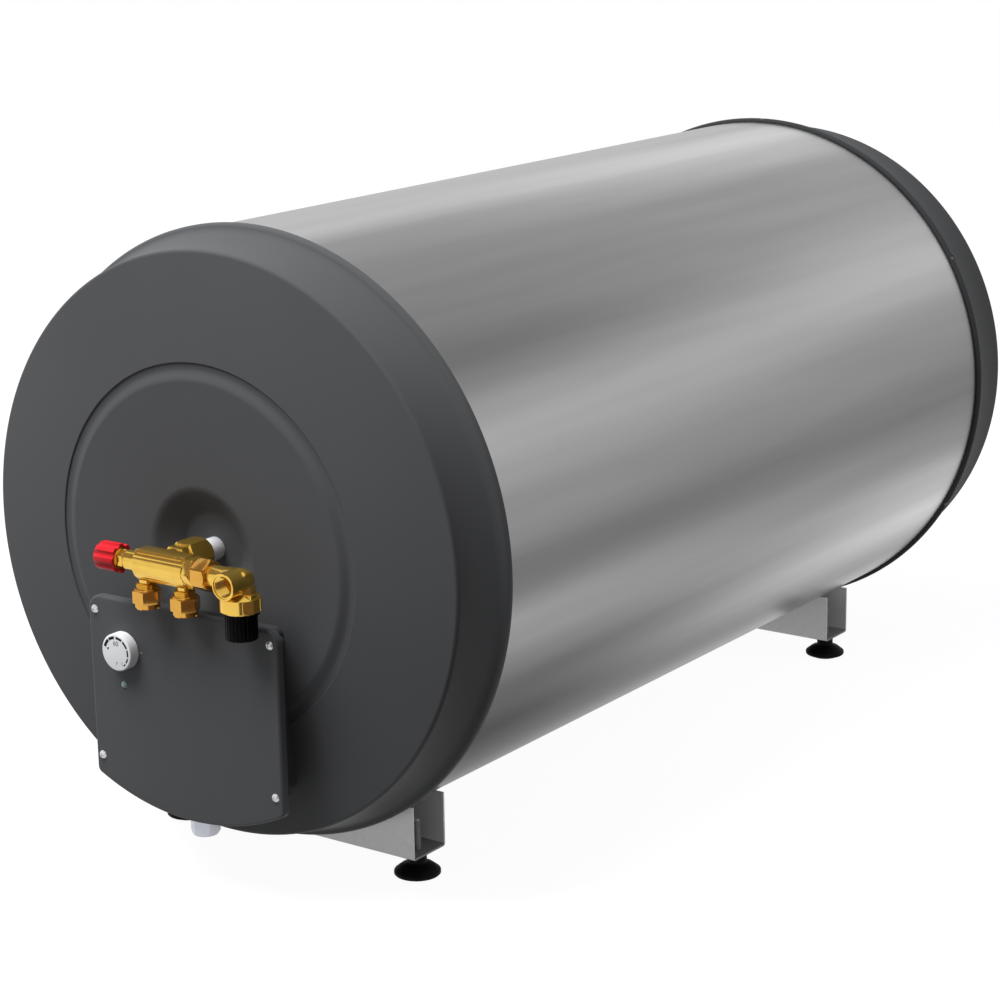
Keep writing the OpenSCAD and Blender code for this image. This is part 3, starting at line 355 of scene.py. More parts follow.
class Tree:
    """A node tree, of a material or of the world."""

    def __init__(self, tree):
        self.tree = tree
        self.tree.nodes.clear()

    def node(self, kind, settings=None, inputs=None):
        """Adds a node: its settings first, then its inputs."""
        node = self.tree.nodes.new(kind)
        for setting, value in (settings or {}).items():
            if setting == "stops":
                self.set_stops(node.color_ramp, value)
            else:
                setattr(node, setting, value)
        for socket, value in (inputs or {}).items():
            self.feed(node.inputs[socket], value)
        return node

    def set_stops(self, ramp, stops):
        ramp.interpolation = "EASE"
        while len(ramp.elements) > 1:
            ramp.elements.remove(ramp.elements[-1])
        ramp.elements[0].position = stops[0][0]
        for i, (place, colour) in enumerate(stops):
            element = ramp.elements[0] if i == 0 else ramp.elements.new(place)
            element.color = (*colour, 1)

    def feed(self, socket, value):
        if isinstance(value, Value):
            self.tree.links.new(value.socket, socket)
        elif isinstance(value, bpy.types.NodeSocket):
            self.tree.links.new(value, socket)
        elif socket.type == "RGBA":
            socket.default_value = (*value, 1)
        else:
            socket.default_value = value

    def mix(self, share, first, second, blend="MIX"):
        """A colour between two, by share."""
        node = self.node("ShaderNodeMix", {"data_type": "RGBA", "blend_type": blend},
                         {0: share, 6: first, 7: second})
        return node.outputs[2]


class Look(Tree):
    """A material around one Principled shader."""

    def __init__(self, name, **constants):
        self.material = bpy.data.materials.new(name)
        self.material.use_nodes = True
        super().__init__(self.material.node_tree)
        self.shader = self.node("ShaderNodeBsdfPrincipled")
        self.node("ShaderNodeOutputMaterial", {}, {"Surface": self.shader.outputs[0]})
        for socket, value in constants.items():
            self.shader.inputs[socket.replace("_", " ")].default_value = value

    def place(self, middle=(0, 0, 0), scale=(1, 1, 1)):
        """Object coordinates, counted from a middle and stretched."""
        coordinates = self.node("ShaderNodeTexCoord").outputs["Object"]
        centred = self.node("ShaderNodeMapping", {"vector_type": "POINT"},
                            {"Vector": coordinates,
                             "Location": tuple(-m*s for m, s in zip(middle, scale)),
                             "Scale": scale})
        return centred.outputs[0]

    def noise(self, size, scale=(1, 1, 1), detail=3.0):
        """Cloudy noise from 0 to 1 whose lumps are size metres wide."""
        node = self.node("ShaderNodeTexNoise", {},
                         {"Vector": self.place((0, 0, 0), scale), "Scale": 1/size,
                          "Detail": detail})
        return Value(self, node.outputs[0])

    def bump(self, height, strength, distance):
        node = self.node("ShaderNodeBump", {}, {"Height": height, "Strength": strength,
                                                "Distance": distance})
        self.feed(self.shader.inputs["Normal"], node.outputs[0])

    def set(self, socket, value):
        self.feed(self.shader.inputs[socket], value)


def shade(grey):
    """The linear value of a grey or a colour that is read off a screen from 0 to 255."""
    if isinstance(grey, (int, float)):
        s = grey/255
        return s/12.92 if s < 0.04045 else ((s + 0.055)/1.055)**2.4
    return tuple(shade(part) for part in grey)


def greys(value):
    return (shade(value),)*3


# Finishes

# Painted reflection: where the satin steel turns from dark to light round the jacket, at its
# front end and at its rear end, as (degrees up from the right-hand side, grey)
FRONT_PAINTED_SHEEN = [(-180, 140), (-150, 105), (-120, 130), (-90, 105), (-60, 90), (-45, 15), (-35, 25),
               (-25, 95), (-10, 154), (0, 114), (10, 146), (25, 172), (40, 118), (50, 134),
               (62, 142), (72, 160), (80, 209), (90, 214), (105, 190), (130, 160),
               (155, 175), (180, 140)]
REAR_PAINTED_SHEEN = [(-180, 160), (-145, 130), (-115, 165), (-85, 125), (-52, 200), (-42, 175),
              (-30, 236), (-20, 196), (-10, 142), (0, 122), (15, 149), (32, 190), (50, 164),
              (62, 166), (70, 203), (80, 240), (90, 206), (105, 190), (140, 165), (180, 160)]


def round_the_jacket(painted_sheen):
    return [((angle + 180)/360, greys(grey)) for angle, grey in painted_sheen]


def satin_steel():
    look = Look("satin_steel", Metallic=1.0, Specular_Tint=(0.7, 0.7, 0.7, 1))
    at = look.node("ShaderNodeSeparateXYZ", {}, {0: look.place(tuple(ORIGIN))})
    across, back, up = (Value(look, part) for part in at.outputs)
    drift = look.noise(0.09, (1, 0.12, 1)) - 0.5
    turn = up.sum("ARCTAN2", up, across)/math.tau + 0.5 + drift*0.008
    # Painted reflection: grey bands round the jacket, blended from front to rear, stand in for the
    # reflected room and go into the base colour
    front = look.node("ShaderNodeValToRGB", {"stops": round_the_jacket(FRONT_PAINTED_SHEEN)},
                      {0: turn}).outputs[0]
    rear = look.node("ShaderNodeValToRGB", {"stops": round_the_jacket(REAR_PAINTED_SHEEN)},
                     {0: turn}).outputs[0]
    share = (back/(JACKET_LEN*MM)*0.96 + 0.02 + drift*0.1).between(0, 1)
    tone = look.mix(share, front, rear)
    streak = look.noise(0.02, (1, 0.05, 1)).between(0.2, 0.8)
    tone = look.mix(1.0, tone, look.mix(streak, greys(243), greys(255)), "MULTIPLY")
    grain = look.noise(0.012, (1, 30, 1), 2.0)
    look.set("Base Color", tone)
    look.set("Roughness", 0.26 + grain*0.06)
    look.bump(grain, 0.02, 0.0001)
    return look.material


def moulding(name, grey, roughness=0.55, level=0.2, grain=0.12):
    """Dark moulded plastic with a fine grain."""
    look = Look(name, Specular_IOR_Level=level)
    cloud = look.noise(0.2)
    base = shade(grey)
    look.set("Base Color", look.mix(cloud.between(0.3, 0.7), tuple(p*0.97 for p in base),
                                    tuple(min(1, p*1.03) for p in base)))
    fine = look.noise(0.0011, detail=2.0)
    look.set("Roughness", roughness + fine*0.1)
    look.bump(fine, grain, 0.0002)
    return look.material


def cast_brass(name, colour, roughness, grain=0.1, size=0.0016):
    look = Look(name, Metallic=0.88)
    cloud = look.noise(0.01)
    tone = look.mix(cloud.between(0.3, 0.8), shade(colour),
                    tuple(p*q for p, q in zip(shade(colour), (0.95, 0.91, 0.84))))
    look.set("Base Color", tone)
    fine = look.noise(size, detail=2.0)
    look.set("Roughness", roughness + fine*0.08)
    look.bump(fine, grain, 0.0003)
    return look.material


def metal(name, colour, roughness, cloud_size=0.02, spread=0.12, grain=0.05, metallic=1.0):
    """Zinc, steel or nickel with a slight clouding."""
    look = Look(name, Metallic=metallic)
    cloud = look.noise(cloud_size)
    base = shade(colour)
    look.set("Base Color", look.mix(cloud.between(0.3, 0.7), tuple(p*(1 - spread) for p in base),
                                    tuple(min(1, p*(1 + spread)) for p in base)))
    fine = look.noise(0.0008, detail=2.0)
    look.set("Roughness", roughness + fine*0.1)
    look.bump(fine, grain, 0.0001)
    return look.material


def zinc_sheet():
    """Zinc-coated sheet, with the faint crystals of the coat. Inside the channel it is painted
    brighter and less metallic, a painted light where it is in shade.
    """
    look = Look("zinc_sheet")
    at = look.node("ShaderNodeSeparateXYZ", {}, {0: look.place(tuple(ORIGIN))})
    back, up = Value(look, at.outputs[1]), Value(look, at.outputs[2])
    front, rear = (back - y*MM for y in CHANNELS)
    away = front.sum("MINIMUM", front.sum("ABSOLUTE", front), rear.sum("ABSOLUTE", rear))
    # Painted light: a mask of the channel's inside, which is in shade and gets painted brightness
    inner = 1 - away.between(0.0232, 0.0238)
    wall = up.between(-0.2994, -0.2988)
    crystal = look.node("ShaderNodeTexVoronoi", {}, {"Vector": look.place(), "Scale": 160.0})
    tint = look.node("ShaderNodeSeparateColor", {}, {0: crystal.outputs["Color"]})
    tone = Value(look, tint.outputs[0])
    # Painted light: the inner walls are painted near white and the inner floor is left grey
    inside = look.mix(wall, greys(150), greys(250))
    outside = look.mix(tone, greys(158), greys(166))
    look.set("Base Color", look.mix(inner, outside, inside))
    look.set("Metallic", 0.85 - inner*0.75)
    look.set("Roughness", 0.42 + tone*0.08)
    look.bump(look.noise(0.002), 0.05, 0.0002)
    return look.material


def threaded_steel():
    """Dull steel with a painted highlight: its top end is painted near white, where light falls on
    it.
    """
    look = Look("threaded_steel", Metallic=0.2)
    at = look.node("ShaderNodeSeparateXYZ", {}, {0: look.place(tuple(ORIGIN))})
    # Painted highlight: a mask of the stud's top end, which is painted near white
    end = Value(look, at.outputs[2]).between(-0.2706, -0.2702)
    cloud = look.noise(0.006)
    side = look.mix(cloud, greys(140), greys(162))
    look.set("Base Color", look.mix(end, side, greys(252)))
    look.set("Roughness", 0.35 + cloud*0.1)
    return look.material


def lamp_plastic():
    """Clear green-grey lens over a dark lamp."""
    look = Look("lamp_plastic", Specular_IOR_Level=0.6, Roughness=0.15)
    cloud = look.noise(0.003)
    look.set("Base Color", look.mix(cloud.between(0.3, 0.7), shade((96, 124, 118)),
                                    shade((140, 170, 162))))
    return look.material


CAP_PLASTIC = moulding("cap_plastic", (77, 78, 80))
# Painted shade: the rear cap is the same plastic as the front cap, painted darker because it is
# seen in shade
REAR_SHADED_PLASTIC = moulding("rear_cap_shaded_plastic", (52, 53, 55))
COVER_PLASTIC = moulding("cover_plastic", (76, 77, 79), 0.5)
BOX_PLASTIC = moulding("box_plastic", (56, 57, 59))
DIAL_PLASTIC = moulding("dial_plastic", (242, 243, 246), 0.35, 0.5, 0.03)
INK = moulding("dial_ink", (9, 9, 10), 0.5, 0.2, 0.02)
RED_PLASTIC = moulding("red_plastic", (198, 34, 44), 0.32, 0.2, 0.04)
BLACK_PLASTIC = moulding("black_plastic", (5, 5, 6), 0.3, 0.05, 0.04)
PAD_PLASTIC = moulding("pad_plastic", (7, 7, 7), 0.5, 0.08, 0.08)
BRASS = cast_brass("bright_brass", (228, 186, 84), 0.12, 0.03, 0.002)
ROUGH_BRASS = cast_brass("cast_brass", (230, 190, 88), 0.12, 0.03, 0.002)
NUT_BRASS = cast_brass("nut_brass", (212, 160, 72), 0.14, 0.03, 0.002)
STEEL = satin_steel()
ZINC = zinc_sheet()
NICKEL = metal("nickel", (244, 244, 248), 0.3, 0.03, 0.02, metallic=0.15)
SCREW_METAL = metal("screw_metal", (214, 215, 218), 0.25, 0.004, 0.06, metallic=0.6)
GLAND_METAL = metal("gland_metal", (212, 214, 224), 0.25, 0.02, 0.03, metallic=0.5)
# Painted shade: the rear cap's screws, painted darker than the cover screws because they sit in the
# rear cap's shade
SHADED_SCREW_METAL = metal("shaded_screw_metal", (92, 93, 96), 0.3, 0.004, 0.06, metallic=0.6)
BOLT_METAL = metal("bolt_metal", (150, 151, 154), 0.4, 0.01, 0.1)
STUD_METAL = threaded_steel()
DIAL_TICK = moulding("tick_plastic", (196, 197, 199), 0.4, 0.4, 0.03)
LENS = lamp_plastic()


# Caps and jacket

def jacket():
    """The rolled sheet, with the lap of its seam at the lower left."""
    wall = 0.8
    sheet = lathe("jacket_sheet", [(JACKET_R - wall, -LAP), (JACKET_R, -LAP),
                                   (JACKET_R, JACKET_LEN + LAP),
                                   (JACKET_R - wall, JACKET_LEN + LAP)], "y", sides=256)
    lap = [(x, z) for x, z in arc((0, 0), JACKET_R - 0.3, -138, -133.5, 6)]
    lap += arc((0, 0), JACKET_R + 0.8, -133.5, -138, 6)
    seam = panel("jacket_seam", lap, 0.5, JACKET_LEN - 0.5)
    soften(seam, 0.3, 40)
    smooth(sheet)
    smooth(seam)
    done(together("jacket_sheet", [sheet, seam]), "heater", "jacket_steel", STEEL, "jacket")


# The rolled lips as (radius, depth from joint): the rear one is rounded on both sides
FRONT_LIP = [(LIP_R, 0)] + arc((LIP_R - 6, 2.5), 6, 0, 72, 9)
REAR_LIP = arc((LIP_R - 3.5, 3.5), 3.5, -90, 0, 6) + arc((LIP_R - 6, 4), 6, 0, 72, 9)


def cove_middle(edge):
    """The cove between crease and face edge: its radius, and the radius of its middle."""
    across, deep = CREASE_R - FACE_R, edge - CREASE
    radius = (across**2 + deep**2)/(2*across)
    return radius, FACE_R + radius


def cap_outside(edge, rise, lip):
    """Outside of a cap, from its lip to the raised disc: (radius, depth from joint)."""
    radius, middle = cove_middle(edge)
    start = math.degrees(math.asin((edge - CREASE)/radius))
    edge_round = 4
    slope = math.degrees(math.atan2(rise, FACE_R - STEP_R))
    ring = edge + rise
    blend = [(172 - (172 - DISC_R)*i/12,
              ring - STEP_DROP + (DISC_RISE + STEP_DROP)*(1 - math.cos(math.pi*i/12))/2)
             for i in range(13)]
    return (lip + arc((middle, edge), radius, 180 + start, 182, 16)
            + arc((FACE_R - edge_round, edge - edge_round + 0.6), edge_round, 0,
                  90 - slope, 8)
            + [(STEP_R + 0.6, ring), (STEP_R, ring - 0.3), (STEP_R - 0.4, ring - STEP_DROP)]
            + blend)


def cap_inside(edge, rise):
    """Inside of a cap, from under the disc to the collar and back to the joint."""
    ring = edge + rise
    inner = JACKET_R - 0.9
    return [(DISC_R, ring + DISC_RISE - CAP_WALL), (DISC_R + 12, ring - STEP_DROP - CAP_WALL),
            (STEP_R, ring - STEP_DROP - CAP_WALL), (FACE_R - 4, edge - 3.5),
            (FACE_R - 0.9, edge*0.6), (CREASE_R - 3.1, CREASE), (inner - 2.5, LAP),
            (inner - 2.5, -15), (inner, -15), (inner, LAP), (JACKET_R + 0.1, LAP),
            (JACKET_R + 0.1, 0)]


def bowl():
    """The bowl in the front cap: a rounded lip, a sloping wall and a rounded foot."""
    lip, foot = 14, 9
    deep = 2*(FRONT_DEPTH - BOWL_MID[1])
    floor = FRONT_DEPTH - deep
    wall = math.radians(37.2)
    lip_at = BOWL_MID[0] + (math.cos(wall)*(FRONT_DEPTH - lip - BOWL_MID[1]) + lip)/math.sin(wall)
    foot_at = BOWL_MID[0] + (math.cos(wall)*(floor + foot - BOWL_MID[1]) - foot)/math.sin(wall)
    return (arc((lip_at, FRONT_DEPTH - lip), lip, 90, 127.2, 8)
            + arc((foot_at, floor + foot), foot, 307.2, 270, 8))


def front_cap():
    hole = 11.1
    rise = 16
    outline = cap_outside(FRONT_EDGE, rise, FRONT_LIP) + bowl() + [
        (hole, 58), (hole, 55), (30, 55), (62, FRONT_DEPTH - CAP_WALL)]
    outline += cap_inside(FRONT_EDGE, rise)
    cap = lathe("front_cap_moulding", [(r, -depth) for r, depth in outline], "y", sides=288)
    combine(cap, rod("opening", 52, -90, -40, "y", (0, 0, -150), 64))
    done(smooth(cap, 35), "heater", "dark_plastic", CAP_PLASTIC, "front_cap")


def lip_places():
    return [-30 - 60*i for i in range(6)]


def rear_cap():
    rise = 7
    outline = cap_outside(REAR_EDGE, rise, REAR_LIP) + [(0, REAR_DEPTH), (0, REAR_DEPTH - CAP_WALL)]
    outline += cap_inside(REAR_EDGE, rise)
    cap = lathe("rear_cap_moulding", [(r, JACKET_LEN + depth) for r, depth in outline], "y",
                sides=288)
    middle = JACKET_LEN + 3.5
    for angle in lip_places():
        recess = rod("recess", 3.2, LIP_R - 1.5, LIP_R + 2, "x", (0, middle, 0), 32)
        combine(cap, settle(recess, round_about("Y", -angle)))
    # The rear cap takes the cap plastic painted darker for its shade
    done(smooth(cap, 35), "heater", "dark_plastic", REAR_SHADED_PLASTIC, "rear_cap")


def cross_head(name, radius, dome, depth, start, axis, at, reach):
    """A domed screw head with a cross recess. It looks along its axis from start."""
    ball = (radius**2 + dome**2)/(2*dome)
    swing = math.degrees(math.asin(radius/ball))
    sign = 1 if reach > 0 else -1
    crown = [(ball*math.sin(math.radians(swing*(8 - i)/8)),
              start + sign*(dome - ball + ball*math.cos(math.radians(swing*(8 - i)/8))))
             for i in range(8)] + [(0, start + sign*dome)]
    head = lathe(name, [(0, start), (radius, start)] + crown[1:], axis, at, 40)
    along, out = SPIN[axis]
    side = along.cross(out)
    top = Vector(at) + along*(start + sign*(dome - depth))
    for first, second in ((out, side), (side, out)):
        corners = [top + first*a*radius*0.52 + second*b*radius*0.11
                   for a, b in ((-1, -1), (1, -1), (1, 1), (-1, 1))]
        combine(head, slab("slot", corners, along*sign*(depth + 1)))
    return head


def rear_cap_screws():
    """Six small screws that hold the rear cap, in recesses of its lip."""
    at = (0, JACKET_LEN + 3.5, 0)
    head = cross_head("rear_cap_screw_heads", 3, 1.45, 1, LIP_R - 1.5, "x", at, 1)
    shank = rod("shank", 1.5, LIP_R - 9, LIP_R - 1.3, "x", at, 24)
    screw = together("rear_cap_screw_heads", [smooth(head), smooth(shank)])
    rest = [twin(screw, "screw", round_about("Y", -angle)) for angle in lip_places()[1:]]
    settle(screw, round_about("Y", -lip_places()[0]))
    done(together("rear_cap_screw_heads", [screw] + rest), "heater", "stud_steel",
         SHADED_SCREW_METAL, "rear_cap_screws")


# Control box

def tray(half, top, bottom, corner, low_corner, inset=0):
    """Outline of box or cover as (x, z): a bottom about the heater's axis."""
    half, top, bottom = half - inset, -top - inset, bottom - inset
    corner, low_corner = max(corner - inset, 0.5), max(low_corner - inset, 0.5)
    low = -math.sqrt((bottom - low_corner)**2 - (half - low_corner)**2)
    swing = math.degrees(math.atan2(low, half - low_corner))
    return (arc((half - corner, top - corner), corner, 90, 0, 8)
            + arc((half - low_corner, low), low_corner, 0, swing, 6)
            + arc((0, 0), bottom, swing, -180 - swing, 48)[1:-1]
            + arc((low_corner - half, low), low_corner, -180 - swing, -180, 6)
            + arc((corner - half, top - corner), corner, 180, 90, 8))


def cap_form():
    """The space that the front cap fills, for what is fitted to it."""
    outline = [(0, 0)] + cap_outside(FRONT_EDGE, 16, FRONT_LIP) + bowl() + [(0, 58)]
    return lathe("cap_form", [(r, -depth) for r, depth in outline], "y", sides=288)


def control_box():
    front, ear = -108.5, 12
    body = panel("control_box_moulding", tray(94, 56, 232, 8, 8), front, -FRONT_EDGE)
    soften(body, 0.6, 60)
    for x, z in COVER_SCREWS:
        combine(body, rod("ear", 5.3, front, front + ear, "y", (x, 0, z), 40), how="UNION")
        inner = math.copysign(93, x)
        bridge = [(inner, z - 5.3), (x, z - 5.3), (x, z + 5.3), (inner, z + 5.3)]
        combine(body, panel("bridge", bridge, front, front + ear), how="UNION")
    hollow = panel("hollow", tray(94, 56, 232, 8, 8, 3), front - 2, -FRONT_DEPTH - 2.5)
    combine(body, hollow, cap_form())
    boss = lathe("boss", [(0, -233), (14.5, -233), (14.5, -227.5), (0, -227.5)], "z",
                 (0, -89.5, 0), 48)
    combine(body, boss, how="UNION")
    combine(body, rod("gland_hole", 10.1, -236, -220, "z", (0, -89.5, 0)))
    done(smooth(body), "heater", "dark_plastic", BOX_PLASTIC, "control_box")


def cover_plate():
    """The cover, with its rounded front edge and its hollow back."""
    rim, wall = -103, 3
    outline = tray(115, 48, 251.5, 14, 7)
    cover = panel("cover_moulding", outline, COVER_FRONT, rim)
    pick(cover, lambda middle, normal: normal.y < -0.9)
    bpy.ops.mesh.region_to_loop()
    bpy.ops.mesh.bevel(offset=3, segments=6, affect="EDGES")
    bpy.ops.object.mode_set(mode="OBJECT")
    combine(cover, panel("hollow", tray(115, 48, 251.5, 14, 7, wall), COVER_FRONT + wall,
                         rim + 2))
    done(smooth(cover), "heater", "dark_plastic", COVER_PLASTIC, "cover_plate")


def cover_screws():
    """Four domed cross-head screws in the corners of the cover."""
    x, z = COVER_SCREWS[0]
    head = cross_head("cover_screw_heads", 4.2, 2.6, 1.1, COVER_FRONT, "y", (x, 0, z), -1)
    shank = rod("shank", 1.9, COVER_FRONT - 0.5, -98.5, "y", (x, 0, z), 24)
    screw = together("cover_screw_heads", [smooth(head), smooth(shank)])
    rest = [twin(screw, "screw", Matrix.Translation((u - x, 0, w - z)))
            for u, w in COVER_SCREWS[1:]]
    done(together("cover_screw_heads", [screw] + rest), "heater", "stud_steel", SCREW_METAL,
         "cover_screws")


def dial():
    """The white dial, turned with a rounded edge, and its printed scale."""
    x, z = DIAL
    radius, back, front = 18, -111.8, -123
    outline = [(0, back), (radius - 0.3, back), (radius, back - 0.3)]
    outline += [(r, -d) for r, d in arc((radius - 1.4, -front - 1.4), 1.4, 0, 90, 6)]
    body = lathe("dial_knob", outline + [(0, front)], "y", (x, 0, z), 96)
    done(smooth(body, 40), "dial", "white_plastic", DIAL_PLASTIC, "dial")
    marks = []
    dashes = [(163, 130), (126, 97), (88, 60), (54, 24), (18, -8), (-14, -34), (-40, -53)]
    for i, (start, end) in enumerate(dashes):
        width = 2.9 - 1.6*i/(len(dashes) - 1)
        middle = 14.4
        band = arc((x, z), middle + width/2, start, end, 8)
        band += arc((x, z), middle - width/2, end, start, 8)
        marks.append(panel("dash", band, front - 0.06, front + 0.4))
    pointer = [(x - 11.9, z + 2.9), (x - 8.9, z + 4.1), (x - 9.8, z + 0.9)]
    marks.append(panel("pointer", pointer, front - 0.06, front + 0.4))
    marks.append(figure("60", 4.8, (x, z + 8.6), front))
    marks.append(figure("1", 3.2, (x + 6.9, z - 10.0), front))
    marks.append(figure("7", 3.2, (x, z - 10.9), front))
    done(together("dial_scale", marks), "dial", "white_plastic", INK)


def figure(text, height, at, front):
    """A printed number, made a mesh before it is placed."""
    bpy.ops.object.select_all(action="DESELECT")
    bpy.ops.object.text_add()
    number = bpy.context.object
    number.data.body = text
    number.data.size = height*1.4
    number.data.align_x = "CENTER"
    number.data.align_y = "CENTER"
    number.data.extrude = 0.06
    bpy.ops.object.convert(target="MESH")
    number = bpy.context.object
    only(number)
    bpy.ops.object.mode_set(mode="EDIT")
    close_up(number)
    turned = Matrix.Translation((at[0], front, at[1])) @ Matrix.Rotation(math.pi/2, 4, "X")
    return settle(number, turned)


def dial_index():
    """The small moulded tick on the cover, beside the dial."""
    x, z = DIAL[0] + 19.4, DIAL[1] + 0.3
    tick = panel("dial_index", [(x, z - 0.35), (x + 2.4, z - 0.35), (x + 2.4, z + 0.35),
                                (x, z + 0.35)], COVER_FRONT - 0.25, COVER_FRONT + 0.5)
    soften(tick, 0.1, 40)
    done(smooth(tick), "heater", "dark_plastic", DIAL_TICK)


def lamp_lens():
    """The lens, a low dome in the cover with a seat behind it."""
    x, z = LAMP
    radius, rise = 3.5, 2.1
    ball = (radius**2 + rise**2)/(2*rise)
    swing = math.degrees(math.asin(radius/ball))
    crown = [(ball*math.sin(math.radians(a)), -(-COVER_FRONT + rise - ball
                                               + ball*math.cos(math.radians(a))))
             for a in [swing*(8 - i)/8 for i in range(9)]]
    outline = [(0, -100.5), (4.5, -100.5), (4.5, -108.5), (3.5, -108.5)] + crown
    lens = lathe("lamp_lens_dome", outline, "y", (x, 0, z), 48)
    done(smooth(lens), "heater", "lamp_lens", LENS, "lamp_lens")


def cable_gland():
    at = (0, -89.5, 0)
    body = nut("gland_hexagon", 25, -241, -233, "z", at, 26, 0, 1.2, 1.2)
    combine(body, rod("neck", 10, -255, -218, "z", at), how="UNION")
    combine(body, rod("cable_way", 7, -256, -217, "z", at))
    done(smooth(body), "heater", "zinc", GLAND_METAL, "gland_body")
    cap = nut("gland_dome", 25, -270, -241.2, "z", at, 26, 0, 4.5, 1.2)
    inside = lathe("inside", [(0, -275), (6, -275), (6, -265), (9.5, -265), (9.5, -255),
                              (10.1, -255), (10.1, -240), (0, -240)], "z", at, 64)
    combine(cap, inside)
    done(smooth(cap, 24), "heater", "zinc", GLAND_METAL, "gland_nut")


# Valves

VALVE = (0, VALVE_Y, 0)


def cast_edges(radius, start, end, edge=0.6):
    """Outline of a cast or turned barrel with broken edges."""
    return [(0, start), (radius - edge, start), (radius, start + edge),
            (radius, end - edge), (radius - edge, end), (0, end)]


def box_form(name, low, high):
    return panel(name, [(low[0], low[2]), (high[0], low[2]), (high[0], high[2]),
                        (low[0], high[2])], low[1], high[1])


def back_nut():
    piece = nut("back_nut_hexagon", 30, -104, -76, "y", (0, 0, 0), 0, 11.1, 2.5, 5)
    done(piece, "heater", "brass", BRASS, "back_nut")


def mixer_body():
    """The cast body: a barrel in a flat band, its collar, tail, necks and hexagons."""
    body = lathe("mixer_casting", cast_edges(14, -26, 34), "x", VALVE, 128)
    across = [(-11.5, 9), (-7, 14.6), (7, 14.6), (11.5, 9), (11.5, -9), (7, -14.6),
              (-7, -14.6), (-11.5, -9)]
    band = slab("band", [Vector((-25.6, VALVE_Y + a, z)) for a, z in across], (59.2, 0, 0))
    combine(body, soften(band, 0.6, 30, 2), how="UNION")
    for z in (11.6, -11.6):
        groove = box_form("groove", (-23, VALVE_Y - 14, z - 0.4), (31, VALVE_Y - 8.7, z + 0.4))
        combine(body, groove)
    collar = lathe("collar", [(0, -41.4), (8.9, -41.4), (9.4, -40.9), (9.4, -27.4),
                              (8.6, -26.8), (8.6, -25), (0, -25)], "x", VALVE, 96)
    tail = rod("tail", 13, VALVE_Y, -90, "y", (0, 0, 0), 96)
    shoulder = nut("shoulder", 27, -114, -104.1, "y", (0, 0, 0), 0, 0, 1, 0.4)
    seat = rod("seat", 12, 42, 54, "x", VALVE, 64)
    combine(body, collar, tail, shoulder, seat, how="UNION")
    end = nut("end_hexagon", 26.5, 34.3, 43, "x", VALVE, 30, 0, 0.5, 1.4)
    combine(body, end, rod("joint", 12.4, 33, 35, "x", VALVE, 64), how="UNION")
    for x in OUTLETS:
        neck = [(0, -36), (9.2, -36)] + threads(10, -36, -18.5, 1.5, 0.8)
        neck += [(6.6, -17.6), (6.6, -2), (0, -2)]
        combine(body, lathe("neck", neck, "z", (x, VALVE_Y, 0), 64), how="UNION")
    for x in OUTLETS:
        way = [(0, -37), (7.6, -37), (7.6, -22), (4.5, -20), (4.5, -4), (0, -4)]
        combine(body, lathe("way", way, "z", (x, VALVE_Y, 0), 48))
    combine(body, rod("pipe_way", 11.1, -101, -89, "y", (0, 0, 0), 64))
    combine(body, rod("main_way", 7.5, -43, 22, "x", VALVE, 64))
    done(smooth(body, 28), "heater", "brass", ROUGH_BRASS, "mixer_body")


def mixer_knob():
    """Red knob: eight deep flutes, a hollow in its right end, and a dished left end."""
    outline = [(0, -75), (11.2, -75), (13.2, -73.6), (13.9, -71), (13.9, -50), (0, -50)]
    knob = lathe("mixer_knob_moulding", outline, "x", VALVE, 160)
    for i in range(8):
        turn = math.radians(45*(i + 0.5))
        at = (0, VALVE_Y + 14.9*math.sin(turn), 14.9*math.cos(turn))
        combine(knob, rod("flute", 3.3, -79, -49, "x", at, 40))
    soften(knob, 0.45, 50, 2)
    combine(knob, rod("hollow", 10.6, -53.5, -49, "x", VALVE, 64),
            rod("dish", 8, -79, -73.8, "x", VALVE, 64),
            rod("spindle_way", 4, -71, -50, "x", VALVE, 32))
    done(smooth(knob, 35), "mixer_knob", "red_plastic", RED_PLASTIC, "mixer_knob")


def mixer_bonnet():
    """Small hexagon behind the knob, with the ring that the knob turns on."""
    bonnet = nut("mixer_bonnet_hexagon", 16.4, -54, -42.2, "x", VALVE, 0, 0, 1, 0.8)
    ring = lathe("ring", cast_edges(10.3, -53, -50.6, 0.4), "x", VALVE, 64)
    plug = rod("plug", 7.4, -43, -28, "x", VALVE, 48)
    combine(bonnet, ring, plug, how="UNION")
    combine(bonnet, rod("spindle_way", 4.05, -54, -27, "x", VALVE, 32))
    done(smooth(bonnet, 28), "heater", "brass", BRASS, "mixer_bonnet")


def outlet_nuts():
    """The two nuts over the pipe ends, each with a notched skirt."""
    at = (OUTLETS[0], VALVE_Y, 0)
    piece = nut("outlet_nut_hexagons", 24, -37.2, -24, "z", at, -4, 0, 1.0, 1.6)
    skirt = lathe("skirt", [(0, -42), (11, -42), (11.6, -41.5), (11.6, -23.4), (11, -22.8),
                            (0, -22.8)], "z", at, 96)
    combine(piece, skirt, how="UNION")
    for i in range(6):
        notch = box_form("notch", (at[0] + 9, VALVE_Y - 2.5, -46),
                         (at[0] + 12.4, VALVE_Y + 2.5, -40.4))
        combine(piece, settle(notch, round_about("Z", 60*i, at)))
    combine(piece, rod("pipe_way", 7.6, -45, -35.8, "z", at, 48),
            rod("grip", 10.1, -36.6, -20, "z", at, 64))
    smooth(piece, 28)
    other = twin(piece, "nut", Matrix.Translation((OUTLETS[1] - OUTLETS[0], 0, 0)))
    done(together("outlet_nut_hexagons", [piece, other]), "heater", "brass", NUT_BRASS,
         "outlet_nuts")


